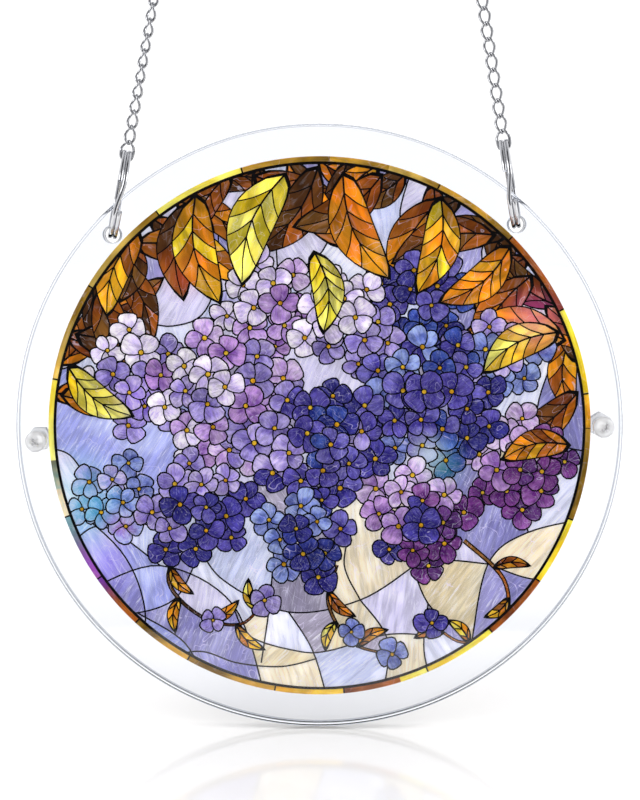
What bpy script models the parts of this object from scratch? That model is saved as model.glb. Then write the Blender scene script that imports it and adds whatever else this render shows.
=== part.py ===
"""A round acrylic suncatcher on a chain: two clear discs, screwed together, hold a printed film between them.

Metres, +Z up, the front faces -Y. The origin is the inside top of the hanging ring, where a hook carries it.
Angles round the discs are measured from their top, positive towards +X.
"""

import math

import bmesh
import bpy
from mathutils import Matrix, Vector

# Clear discs and the film between them
DISC_DIAMETER = 0.150
PLATE_THICKNESS = 0.0025
RIM_BEVEL = 0.00025
FILM_MARGIN = 0.00075
FILM_THICKNESS = 0.0003
FIT_GAP = 0.0002

# Holes for the rings and the screws, on one circle inside the rim
FITTING_INSET = 0.0050
RING_HOLE_DIAMETER = 0.0040
RING_HOLE_ANGLE = math.radians(45.0)
SCREW_ANGLE = math.radians(90.6)
SCREW_CLEARANCE = 0.0002

# Clear plastic screws and hex nuts
SCREW_DIAMETER = 0.0030
SCREW_LENGTH = 0.0100
SCREW_END_CHAMFER = 0.0004
HEAD_DIAMETER = 0.0052
HEAD_HEIGHT = 0.0020
HEAD_EDGE_HEIGHT = 0.0011
HEAD_DOME_RADIUS = 0.0016
HEAD_DOME_DROP = 0.000225
RECESS_LENGTH = 0.0030
RECESS_WIDTH = 0.0007
RECESS_DEPTH = 0.0010
RECESS_TURN = math.radians(45.0)
NUT_ACROSS_FLATS = 0.0055
NUT_HEIGHT = 0.0024
NUT_BEVEL = 0.00025
NUT_TURN_LEFT = math.radians(30.0)
NUT_TURN_RIGHT = math.radians(0.0)

# Split rings: one flat wire, wound round twice and stepping sideways once, at the front
SPLIT_RING_DIAMETER = 0.022
SPLIT_RING_WALL = 0.0017
SPLIT_RING_COIL = 0.00108
SPLIT_RING_COIL_GAP = 0.00005
SPLIT_RING_SWING = math.radians(8.0)
STEP_TOP_ANGLE = math.radians(18.0)
STEP_BOTTOM_ANGLE = math.radians(-24.0)

# Twisted curb chain
CHAIN_WIRE = 0.00065
LINK_WIDTH = 0.0031
LINK_PITCH = 0.00372
LINK_NECK = 0.00005
LINK_TWIST = math.radians(-90.0)
END_LINK_CLEARANCE = 0.00012
LINKS_LEFT = 69
LINKS_RIGHT = 68
STRAND_TURN = math.radians(-45.0)
TURN_STARTS_LEFT, TURN_ENDS_LEFT = 0, 5
TURN_STARTS_RIGHT, TURN_ENDS_RIGHT = 12, 40

# Plain ring at the top
HANGING_RING_BORE = 0.0100
HANGING_RING_WIRE = 0.0010
STRAND_SPREAD = 0.0036

# Facets
DISC_SEGMENTS = 72
HOLE_SEGMENTS = 16
SCREW_SEGMENTS = 20
COIL_STEP = math.radians(15.0)
LINK_CORNERS = 6
LINK_SIDES = 3
RING_SEGMENTS = 24
RING_SIDES = 6
SHARP_EDGE = math.radians(35.0)
FLAT_END_TILT = 0.5
TRIANGLE_HEIGHT = 1.5
CUT_OVERSHOOT = 0.001
MERGE = 0.00001
POSE_HALVINGS = 60

# Worked out from the sizes above
FITTING_RADIUS = DISC_DIAMETER / 2 - FITTING_INSET
FILM_DIAMETER = 2 * (FITTING_RADIUS - RING_HOLE_DIAMETER / 2 - FILM_MARGIN)
STACK_GAP = FILM_THICKNESS + 2 * FIT_GAP
STACK_THICKNESS = 2 * PLATE_THICKNESS + STACK_GAP
PLATE_CENTRE = (STACK_GAP + PLATE_THICKNESS) / 2
RING_HOLE_RADIUS = RING_HOLE_DIAMETER / 2
SCREW_BORE_DIAMETER = SCREW_DIAMETER + 2 * SCREW_CLEARANCE
SPLIT_RING_WIDTH = 2 * SPLIT_RING_COIL + SPLIT_RING_COIL_GAP
SPLIT_RING_BORE_RADIUS = SPLIT_RING_DIAMETER / 2 - SPLIT_RING_WALL
END_LINK_WIDTH = SPLIT_RING_WIDTH + 2 * (CHAIN_WIRE + END_LINK_CLEARANCE)
HANGING_RING_RADIUS = HANGING_RING_BORE / 2

CLEAR_ACRYLIC = {"colour": (0.93, 0.95, 0.97), "roughness": 0.03, "alpha": 0.25}
CLEAR_NYLON = {"colour": (0.86, 0.88, 0.90), "roughness": 0.25, "alpha": 0.55}
PRINTED_FILM = {"colour": (0.42, 0.33, 0.58), "roughness": 0.35, "alpha": 0.95}
POLISHED_STEEL = {"colour": (0.72, 0.72, 0.74), "roughness": 0.12, "metallic": 1.0}


def clear_scene():
    for thing in list(bpy.data.objects):
        bpy.data.objects.remove(thing, do_unlink=True)


def new_collection(name):
    collection = bpy.data.collections.new(name)
    bpy.context.scene.collection.children.link(collection)
    return collection


def new_material(name, finish):
    material = bpy.data.materials.new(name)
    material.use_nodes = True
    shader = material.node_tree.nodes["Principled BSDF"]
    shader.inputs["Base Color"].default_value = (*finish["colour"], 1.0)
    shader.inputs["Roughness"].default_value = finish["roughness"]
    shader.inputs["Metallic"].default_value = finish.get("metallic", 0.0)
    shader.inputs["Alpha"].default_value = finish.get("alpha", 1.0)
    material.diffuse_color = (*finish["colour"], finish.get("alpha", 1.0))
    return material


def add_object(name, mesh, collection, finish=None, parent=None):
    piece = bpy.data.objects.new(name, mesh)
    collection.objects.link(piece)
    piece.parent = parent
    if finish:
        mesh.materials.append(new_material(name, finish))
        mesh.shade_smooth()
        mesh.set_sharp_from_angle(angle=SHARP_EDGE)
    return piece


def add_cutter(mesh, cutters, parent):
    cutter = add_object(mesh.name, mesh, cutters, parent=parent)
    cutter.hide_render = True
    cutter.display_type = "WIRE"
    return cutter


def cut(piece, cutter):
    modifier = piece.modifiers.new("Cut " + cutter.name, "BOOLEAN")
    modifier.operation = "DIFFERENCE"
    modifier.object = cutter
    modifier.solver = "EXACT"


def break_edges(piece, width):
    modifier = piece.modifiers.new("Broken edges", "BEVEL")
    modifier.width = width
    modifier.segments = 1
    modifier.limit_method = "ANGLE"
    modifier.angle_limit = SHARP_EDGE


def cylinder_mesh(name, diameter, depth, segments):
    """A cylinder along Y, centred on the origin."""
    shape = bmesh.new()
    bmesh.ops.create_cone(
        shape, cap_ends=True, segments=segments, radius1=diameter / 2, radius2=diameter / 2,
        depth=depth, matrix=Matrix.Rotation(math.pi / 2, 4, "X"),
    )
    mesh = bpy.data.meshes.new(name)
    shape.to_mesh(mesh)
    shape.free()
    return mesh


def on_disc(radius, angle, depth=0.0):
    """A point of the disc in its own frame: angle from the top, depth from the middle of the stack."""
    return Vector((radius * math.sin(angle), depth, radius * math.cos(angle)))


def ring_reach():
    """From a ring hole's centre to the centre of the split ring that bears on the hole's upper wall.

    The ring is swung about its strand, so it bears at the discs' outer faces, off the hole's middle.
    """
    off_middle = STACK_THICKNESS / 2 * math.tan(SPLIT_RING_SWING)
    half_width = SPLIT_RING_WIDTH / 2 / math.cos(SPLIT_RING_SWING) + off_middle
    wall_height = math.sqrt(RING_HOLE_RADIUS**2 - half_width**2)
    out = STACK_THICKNESS / 2 / math.cos(SPLIT_RING_SWING)
    return wall_height - FIT_GAP + math.sqrt(SPLIT_RING_BORE_RADIUS**2 - out**2)


def chain_start():
    """From a ring hole's centre to the inner face of the first link, under the split ring's top."""
    return ring_reach() + SPLIT_RING_BORE_RADIUS - FIT_GAP


def strand_length(links):
    """From a ring hole's centre to the bore of the hanging ring."""
    return chain_start() + links * LINK_PITCH + LINK_NECK - FIT_GAP


def strand_anchor(side):
    """Where a strand bears on the hanging ring's bore; side is -1 on the left and +1 on the right."""
    drop = math.sqrt(HANGING_RING_RADIUS**2 - (STRAND_SPREAD / 2) ** 2)
    return Vector((side * STRAND_SPREAD / 2, 0, -HANGING_RING_RADIUS - drop))


def disc_height(side, turn, links):
    """The height at which this strand alone would hold the disc's centre, straight under the hook."""
    anchor = strand_anchor(side)
    hole = on_disc(FITTING_RADIUS, side * RING_HOLE_ANGLE - turn)
    across = anchor.x - hole.x
    return anchor.z - hole.z - math.sqrt(strand_length(links) ** 2 - across**2)


def hanging_pose():
    """The disc's turn, left side down, and its centre's height: both strands are taut and it hangs plumb."""
    low, high = -RING_HOLE_ANGLE / 2, RING_HOLE_ANGLE / 2
    for _ in range(POSE_HALVINGS):
        turn = (low + high) / 2
        if disc_height(-1, turn, LINKS_LEFT) < disc_height(1, turn, LINKS_RIGHT):
            low = turn
        else:
            high = turn
    return turn, disc_height(1, turn, LINKS_RIGHT)


def add_disc_frame(collection):
    turn, height = hanging_pose()
    frame = bpy.data.objects.new("disc_centre", None)
    collection.objects.link(frame)
    frame.location = (0, 0, height)
    frame.rotation_euler.y = -turn
    frame.empty_display_size = DISC_DIAMETER / 4
    bpy.context.view_layer.update()
    return frame


def add_hole_cutters(cutters, frame):
    """One cutter for each hole, long enough for both plates."""
    depth = STACK_THICKNESS + 2 * CUT_OVERSHOOT
    made = []
    for side, place in ((-1, "left"), (1, "right")):
        for use, diameter, angle in (
            ("ring", RING_HOLE_DIAMETER, RING_HOLE_ANGLE),
            ("screw", SCREW_BORE_DIAMETER, SCREW_ANGLE),
        ):
            mesh = cylinder_mesh(f"{use}_hole_{place}", diameter, depth, HOLE_SEGMENTS)
            cutter = add_cutter(mesh, cutters, frame)
            cutter.location = on_disc(FITTING_RADIUS, side * angle)
            made.append(cutter)
    return made


def add_plate(name, depth, parts, frame, hole_cutters):
    mesh = cylinder_mesh(name, DISC_DIAMETER, PLATE_THICKNESS, DISC_SEGMENTS)
    plate = add_object(name, mesh, parts, CLEAR_ACRYLIC, frame)
    plate.location.y = depth
    break_edges(plate, RIM_BEVEL)
    for cutter in hole_cutters:
        cut(plate, cutter)


def add_film(parts, frame):
    mesh = cylinder_mesh("printed_film", FILM_DIAMETER, FILM_THICKNESS, DISC_SEGMENTS)
    add_object("printed_film", mesh, parts, PRINTED_FILM, frame)


def turned_mesh(name, profile):
    """A mesh of one open line of (radius, height) points, for a Screw modifier round Z."""
    mesh = bpy.data.meshes.new(name)
    points = [(radius, 0, height) for radius, height in profile]
    mesh.from_pydata(points, [(i, i + 1) for i in range(len(points) - 1)], [])
    return mesh


def screw_profile():
    """Down the outside of a screw: a domed head above z = 0 and the shank below it."""
    head = HEAD_DIAMETER / 2
    shank = SCREW_DIAMETER / 2
    return [
        (0, HEAD_HEIGHT),
        (HEAD_DOME_RADIUS, HEAD_HEIGHT - HEAD_DOME_DROP),
        (head, HEAD_EDGE_HEIGHT),
        (head, 0),
        (shank, 0),
        (shank, SCREW_END_CHAMFER - SCREW_LENGTH),
        (shank - SCREW_END_CHAMFER, -SCREW_LENGTH),
        (0, -SCREW_LENGTH),
    ]


def box_mesh(name, size):
    shape = bmesh.new()
    bmesh.ops.create_cube(shape, size=1)
    bmesh.ops.scale(shape, verts=shape.verts, vec=size)
    mesh = bpy.data.meshes.new(name)
    shape.to_mesh(mesh)
    shape.free()
    return mesh


def add_screw(place, side, parts, cutters, frame):
    """A screw with its head in front, its shank through both plates, and a cross recess in the head."""
    name = f"screw_{place}"
    screw = add_object(name, turned_mesh(name, screw_profile()), parts, CLEAR_NYLON, frame)
    screw.location = on_disc(FITTING_RADIUS, side * SCREW_ANGLE, -STACK_THICKNESS / 2 - FIT_GAP)
    screw.rotation_euler.x = math.pi / 2
    turning = screw.modifiers.new("Turned", "SCREW")
    turning.steps = SCREW_SEGMENTS
    turning.render_steps = SCREW_SEGMENTS
    turning.use_merge_vertices = True
    turning.merge_threshold = MERGE
    for slot, turn in (("a", 0.0), ("b", math.pi / 2)):
        mesh = box_mesh(f"recess_{slot}_{place}", (RECESS_LENGTH, RECESS_WIDTH, 2 * RECESS_DEPTH))
        cutter = add_cutter(mesh, cutters, screw)
        cutter.location.z = HEAD_HEIGHT
        cutter.rotation_euler.z = turn + RECESS_TURN
        cut(screw, cutter)


def add_nut(place, side, turn, parts, cutters, frame):
    """A hex nut behind the back plate; turn puts a flat or a corner at its top."""
    name = f"nut_{place}"
    across_corners = NUT_ACROSS_FLATS / math.cos(math.pi / 6)
    nut = add_object(name, cylinder_mesh(name, across_corners, NUT_HEIGHT, 6), parts, CLEAR_NYLON, frame)
    centre = STACK_THICKNESS / 2 + FIT_GAP + NUT_HEIGHT / 2
    nut.location = on_disc(FITTING_RADIUS, side * SCREW_ANGLE, centre)
    nut.rotation_euler.y = turn
    break_edges(nut, NUT_BEVEL)
    depth = NUT_HEIGHT + 2 * CUT_OVERSHOOT
    mesh = cylinder_mesh(f"nut_bore_{place}", SCREW_BORE_DIAMETER, depth, HOLE_SEGMENTS)
    cut(nut, add_cutter(mesh, cutters, nut))


def split_ring_mesh(name):
    """A flat wire spun round X: one coil at +X, a sideways step at the front, and one coil at -X."""
    shape = bmesh.new()
    radius = SPLIT_RING_BORE_RADIUS + SPLIT_RING_WALL / 2
    offset = (SPLIT_RING_COIL + SPLIT_RING_COIL_GAP) / 2
    start = Matrix.Rotation(-STEP_BOTTOM_ANGLE, 4, "X") @ Matrix.Translation((offset, -radius, 0))
    section = Matrix.Diagonal((SPLIT_RING_COIL, SPLIT_RING_WALL, 1, 1))
    bmesh.ops.create_grid(shape, x_segments=1, y_segments=1, size=0.5, matrix=start @ section)
    coil = 2 * math.pi - (STEP_TOP_ANGLE - STEP_BOTTOM_ANGLE)
    step = STEP_TOP_ANGLE - STEP_BOTTOM_ANGLE
    end = list(shape.faces)
    for angle, shift in ((coil, 0.0), (step, -2 * offset), (coil, 0.0)):
        steps = math.ceil(angle / COIL_STEP)
        spun = bmesh.ops.spin(
            shape, geom=end, cent=(0, 0, 0), axis=(1, 0, 0), dvec=(shift / steps, 0, 0),
            angle=angle, steps=steps,
        )
        joined = [face for face in end if face.is_valid and all(len(e.link_faces) > 2 for e in face.edges)]
        bmesh.ops.delete(shape, geom=joined, context="FACES_ONLY")
        end = [item for item in spun["geom_last"] if isinstance(item, bmesh.types.BMFace)]
    bmesh.ops.holes_fill(shape, edges=[edge for edge in shape.edges if edge.is_boundary], sides=4)
    bmesh.ops.recalc_face_normals(shape, faces=shape.faces)
    mesh = bpy.data.meshes.new(name)
    shape.to_mesh(mesh)
    shape.free()
    return mesh


def link_wire_radius():
    """The circumradius of the three-sided wire that is as thick across a link's flat end as the round wire."""
    return CHAIN_WIRE / (TRIANGLE_HEIGHT * math.sin(math.pi / 3))


def torus_mesh(name, major, minor, corners, sides):
    bpy.ops.mesh.primitive_torus_add(
        major_radius=major, minor_radius=minor, major_segments=corners, minor_segments=sides
    )
    made = bpy.context.object
    mesh = made.data
    mesh.name = name
    bpy.data.objects.remove(made, do_unlink=True)
    return mesh


def shape_link(verts, major, base, low_turn, high_turn, end_link=False):
    """Stretches one round link along Z, twists it from low_turn to high_turn, and lifts it to its place.

    The end link is wider, square below for the split ring's two coils, and twists only above them.
    """
    wire = link_wire_radius()
    slant = math.sin(math.pi / 3)
    inside = (LINK_PITCH + LINK_NECK) / 2
    half_width = (END_LINK_WIDTH if end_link else LINK_WIDTH) / 2 - wire * slant
    half_length = inside / slant + wire / 2
    for vert in verts:
        corner = math.atan2(vert.co.y, vert.co.x)
        outward = math.hypot(vert.co.x, vert.co.y) - major
        spread = math.cos(corner)
        along = (half_length + outward) * math.sin(corner)
        share = (along + inside) / (2 * inside)
        if end_link and along < 0:
            spread = math.copysign(1.0, spread)
        if end_link:
            share = max(0.0, 2 * share - 1)
        across = (half_width + outward * slant) * spread
        turn = low_turn + (high_turn - low_turn) * share
        twisted = Matrix.Rotation(turn, 3, "Z") @ Vector((across, vert.co.z, along))
        vert.co = twisted + Vector((0, 0, base + inside))


def strand_turn(joint, starts, ends):
    """How far the strand has turned about its own line at this joint between two links."""
    share = (joint - starts) / (ends - starts)
    return STRAND_TURN * min(1.0, max(0.0, share))


def flat_ends(faces):
    """A round link's inner faces at its top and bottom, along its own Y, where its neighbours bear."""
    inner = [face for face in faces if face.normal.xy.dot(face.calc_center_median().xy) < 0]
    flats = [face for face in inner if abs(face.normal.z) < FLAT_END_TILT]
    flats.sort(key=lambda face: face.calc_center_median().y)
    return flats[-1], flats[0]


def add_neck(shape, top, bottom):
    """Puts a short neck in place of two facing flats, from each corner to the one right opposite."""
    corners = list(top.verts)
    opposite = [min(bottom.verts, key=lambda vert: (vert.co - corner.co).length) for corner in corners]
    bmesh.ops.delete(shape, geom=[top, bottom], context="FACES_ONLY")
    for i in range(len(corners)):
        shape.faces.new((corners[i - 1], corners[i], opposite[i], opposite[i - 1]))


def chain_mesh(name, links, starts, ends, ring_turn):
    """One strand along Z from the hole's centre, each link fused to the next where the two bear."""
    major = LINK_WIDTH
    ring = torus_mesh(f"{name}_link", major, link_wire_radius(), LINK_CORNERS, LINK_SIDES)
    shape = bmesh.new()
    tops, bottoms = [], []
    for number in range(links):
        known = len(shape.verts)
        known_faces = len(shape.faces)
        shape.from_mesh(ring)
        shape.verts.ensure_lookup_table()
        shape.faces.ensure_lookup_table()
        verts = shape.verts[known:]
        faces = shape.faces[known_faces:]
        flats = flat_ends(faces)
        end_link = number == 0
        low_turn = ring_turn if end_link else strand_turn(number, starts, ends) - LINK_TWIST / 2
        high_turn = strand_turn(number + 1, starts, ends) + LINK_TWIST / 2
        base = chain_start() + number * LINK_PITCH
        shape_link(verts, major, base, low_turn, high_turn, end_link)
        tops.append(flats[0])
        bottoms.append(flats[1])
    for top, bottom in zip(tops[:-1], bottoms[1:]):
        add_neck(shape, top, bottom)
    bmesh.ops.recalc_face_normals(shape, faces=shape.faces)
    # The other diagonals of the twisted quads would cut through the wire
    bmesh.ops.triangulate(shape, faces=shape.faces, quad_method="SHORT_EDGE")
    mesh = bpy.data.meshes.new(name)
    shape.to_mesh(mesh)
    shape.free()
    bpy.data.meshes.remove(ring)
    return mesh


def strand_frame(side, frame):
    """The place of a ring hole's centre, with Z along the strand that pulls on it."""
    hole = frame.matrix_world @ on_disc(FITTING_RADIUS, side * RING_HOLE_ANGLE)
    line = strand_anchor(side) - hole
    return Matrix.Translation(hole) @ Matrix.Rotation(math.atan2(line.x, line.z), 4, "Y")


def add_split_ring(place, side, parts, frame):
    name = f"split_ring_{place}"
    ring = add_object(name, split_ring_mesh(name), parts, POLISHED_STEEL)
    swing = Matrix.Rotation(-side * SPLIT_RING_SWING, 4, "Z")
    ring.matrix_world = strand_frame(side, frame) @ Matrix.Translation((0, 0, ring_reach())) @ swing


def add_chain(place, side, links, starts, ends, parts, frame):
    name = f"chain_{place}"
    mesh = chain_mesh(name, links, starts, ends, -side * SPLIT_RING_SWING)
    chain = add_object(name, mesh, parts, POLISHED_STEEL)
    chain.matrix_world = strand_frame(side, frame)


def add_hanging_ring(parts):
    major = HANGING_RING_RADIUS + HANGING_RING_WIRE / 2
    mesh = torus_mesh("hanging_ring", major, HANGING_RING_WIRE / 2, RING_SEGMENTS, RING_SIDES)
    ring = add_object("hanging_ring", mesh, parts, POLISHED_STEEL)
    ring.location.z = -HANGING_RING_RADIUS
    ring.rotation_euler.x = math.pi / 2


def build():
    clear_scene()
    parts = new_collection("suncatcher")
    cutters = new_collection("cutters")
    frame = add_disc_frame(parts)
    hole_cutters = add_hole_cutters(cutters, frame)
    add_plate("front_plate", -PLATE_CENTRE, parts, frame, hole_cutters)
    add_plate("back_plate", PLATE_CENTRE, parts, frame, hole_cutters)
    add_film(parts, frame)
    for place, side, nut_turn, links, starts, ends in (
        ("left", -1, NUT_TURN_LEFT, LINKS_LEFT, TURN_STARTS_LEFT, TURN_ENDS_LEFT),
        ("right", 1, NUT_TURN_RIGHT, LINKS_RIGHT, TURN_STARTS_RIGHT, TURN_ENDS_RIGHT),
    ):
        add_screw(place, side, parts, cutters, frame)
        add_nut(place, side, nut_turn, parts, cutters, frame)
        add_split_ring(place, side, parts, frame)
        add_chain(place, side, links, starts, ends, parts, frame)
    add_hanging_ring(parts)


build()
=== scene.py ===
"""The looks of an acrylic suncatcher: two clear discs, the print between them, screws, rings and chain.

Metres, +Z up, the front faces -Y. The origin is the inside top of the hanging ring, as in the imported
model. Angles round the discs are measured from their top, positive towards +X. The picture is drawn in
millimetres.
"""

import logging
import math
import random
from dataclasses import dataclass, field
from enum import Enum

import bmesh
import bpy
from mathutils import Color, Matrix, Vector
from mathutils.geometry import delaunay_2d_cdt


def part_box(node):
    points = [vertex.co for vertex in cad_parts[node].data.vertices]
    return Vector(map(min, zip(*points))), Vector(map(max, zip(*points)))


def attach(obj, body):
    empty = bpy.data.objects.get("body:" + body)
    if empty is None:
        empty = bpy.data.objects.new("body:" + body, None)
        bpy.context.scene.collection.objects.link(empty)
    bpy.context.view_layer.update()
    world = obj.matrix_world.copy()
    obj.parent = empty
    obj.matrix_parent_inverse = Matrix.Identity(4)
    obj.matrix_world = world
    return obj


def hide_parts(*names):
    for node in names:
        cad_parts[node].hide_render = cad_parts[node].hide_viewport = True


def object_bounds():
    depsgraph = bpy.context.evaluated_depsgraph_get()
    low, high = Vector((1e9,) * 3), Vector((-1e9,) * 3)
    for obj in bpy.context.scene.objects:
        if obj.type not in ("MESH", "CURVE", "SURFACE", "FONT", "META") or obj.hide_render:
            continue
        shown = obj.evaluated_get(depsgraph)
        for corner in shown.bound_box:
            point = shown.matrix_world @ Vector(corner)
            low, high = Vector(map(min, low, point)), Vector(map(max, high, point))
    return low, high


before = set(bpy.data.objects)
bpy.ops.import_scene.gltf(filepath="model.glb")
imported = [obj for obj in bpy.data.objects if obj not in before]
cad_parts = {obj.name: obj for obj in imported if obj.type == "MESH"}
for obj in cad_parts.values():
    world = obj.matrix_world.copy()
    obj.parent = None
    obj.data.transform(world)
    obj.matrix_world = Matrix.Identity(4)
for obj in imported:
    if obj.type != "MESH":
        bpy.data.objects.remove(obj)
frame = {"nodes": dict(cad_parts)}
CAD_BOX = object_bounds()
LOG = logging.getLogger("suncatcher")

MM = 0.001
FACING_FRONT = Matrix.Rotation(math.pi / 2, 4, "X")
SHARP_EDGE = math.radians(35.0)

STACK_THICKNESS = 0.0057
FIT_GAP = 0.0002
RIM_STEPS = 288
GOLDEN_ANGLE = 2.39996
LEVEL_NORMAL = 0.9999
SAME_HEIGHT = 1e-7

Point = tuple[float, float]
Outline = list[Point] | tuple[Point, ...]
Colour = tuple[float, float, float, float]
Shape = bmesh.types.BMesh
Mesh = bpy.types.Mesh
Material = bpy.types.Material
Socket = bpy.types.NodeSocket


class Side(Enum):
    """The two sides of the suncatcher, as the sign of X."""

    LEFT = -1
    RIGHT = 1

    @property
    def place(self) -> str:
        """The side's name as the CAD nodes spell it."""
        return self.name.lower()


def paint(code: str) -> Colour:
    """Turns a colour written as on screen into the linear colour that shaders take.

    Args:
        code: Six hexadecimal digits, red first.

    Returns:
        The linear colour with full opacity.
    """
    red, green, blue = (int(code[i : i + 2], 16) / 255 for i in (0, 2, 4))
    linear = Color((red, green, blue)).from_srgb_to_scene_linear()
    return (linear.r, linear.g, linear.b, 1.0)


def ease(share: float) -> float:
    """A share from 0 to 1 with a gentle start and end."""
    share = min(1.0, max(0.0, share))
    return share * share * (3 - 2 * share)


def face_outwards(shape: Shape) -> None:
    """Turns every face of closed shapes outwards, wherever their points have been moved."""
    shape.normal_update()
    bmesh.ops.recalc_face_normals(shape, faces=shape.faces)


def raise_faces(shape: Shape, height: float) -> None:
    """Makes a closed body of a flat shape, which stays as one of its ends.

    Args:
        shape: The flat shape.
        height: How far up its other end is.
    """
    made = bmesh.ops.extrude_face_region(shape, geom=shape.faces[:], use_keep_orig=True)
    top = [item for item in made["geom"] if isinstance(item, bmesh.types.BMVert)]
    bmesh.ops.translate(shape, verts=top, vec=(0, 0, height))
    face_outwards(shape)


def revolve(shape: Shape, axis: tuple[int, int, int], steps: int) -> None:
    """Turns a shape's line of edges once round an axis through the origin.

    Args:
        shape: The shape, which holds only the line.
        axis: The axis.
        steps: How many steps make the full turn.
    """
    bmesh.ops.spin(
        shape, geom=shape.verts[:] + shape.edges[:], cent=(0, 0, 0), axis=axis,
        angle=2 * math.pi, steps=steps, use_merge=True,
    )


def round_off(shape: Shape, geom: list, width: float, segments: int, affect: str = "EDGES") -> None:
    """Rounds edges or corners.

    Args:
        shape: The shape.
        geom: Its edges or corners to round.
        width: How far the rounding reaches.
        segments: How many faces it has.
        affect: "EDGES" or "VERTICES".
    """
    bmesh.ops.bevel(
        shape, geom=geom, offset=width, offset_type="OFFSET", segments=segments,
        profile=0.5, affect=affect, material=-1, clamp_overlap=True,
    )


def sharp_edges(shape: Shape) -> list[bmesh.types.BMEdge]:
    """The edges that are too sharp to be shaded smooth."""
    return [edge for edge in shape.edges if edge.calc_face_angle(0.0) > SHARP_EDGE]


def mesh_from(shape: Shape, name: str) -> Mesh:
    """Makes a mesh of a finished bmesh and frees it.

    Args:
        shape: The finished shape.
        name: The mesh's name.

    Returns:
        The new mesh.
    """
    mesh = bpy.data.meshes.new(name)
    shape.to_mesh(mesh)
    shape.free()
    return mesh


def put_in_scene(name: str, data: bpy.types.ID) -> bpy.types.Object:
    """Makes an object of a mesh, a lamp or a camera and links it to the scene."""
    thing = bpy.data.objects.new(name, data)
    bpy.context.scene.collection.objects.link(thing)
    return thing


def add_piece(name: str, mesh: Mesh, materials: list[Material], node: str) -> bpy.types.Object:
    """Puts a finished mesh in the scene in place of a CAD node.

    Args:
        name: The piece's name.
        mesh: Its mesh, already in place.
        materials: Its materials, in the order of its material indices.
        node: The CAD node that it stands for.

    Returns:
        The new object, riding on the part's one body.
    """
    mesh.name = name
    for material in materials:
        mesh.materials.append(material)
    piece = put_in_scene(name, mesh)
    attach(piece, "root")
    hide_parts(node)
    LOG.info("%s: %d vertices, %d faces", name, len(mesh.vertices), len(mesh.polygons))
    return piece


def carve(mesh: Mesh, cutter: Mesh) -> Mesh:
    """Cuts one mesh out of another.

    Args:
        mesh: The mesh to cut.
        cutter: The shape that is taken away.

    Returns:
        The carved mesh.
    """
    body, tool = put_in_scene("carved", mesh), put_in_scene("cutter", cutter)
    modifier = body.modifiers.new("Carve", "BOOLEAN")
    modifier.operation = "DIFFERENCE"
    modifier.solver = "EXACT"
    modifier.use_self = True
    modifier.object = tool
    graph = bpy.context.evaluated_depsgraph_get()
    carved = bpy.data.meshes.new_from_object(body.evaluated_get(graph))
    for thing in (body, tool):
        bpy.data.objects.remove(thing, do_unlink=True)
    return carved


def smooth_mesh(mesh: Mesh) -> Mesh:
    """Shades a mesh smooth up to its sharp edges and returns it."""
    mesh.shade_smooth()
    mesh.set_sharp_from_angle(angle=SHARP_EDGE)
    return mesh


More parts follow.
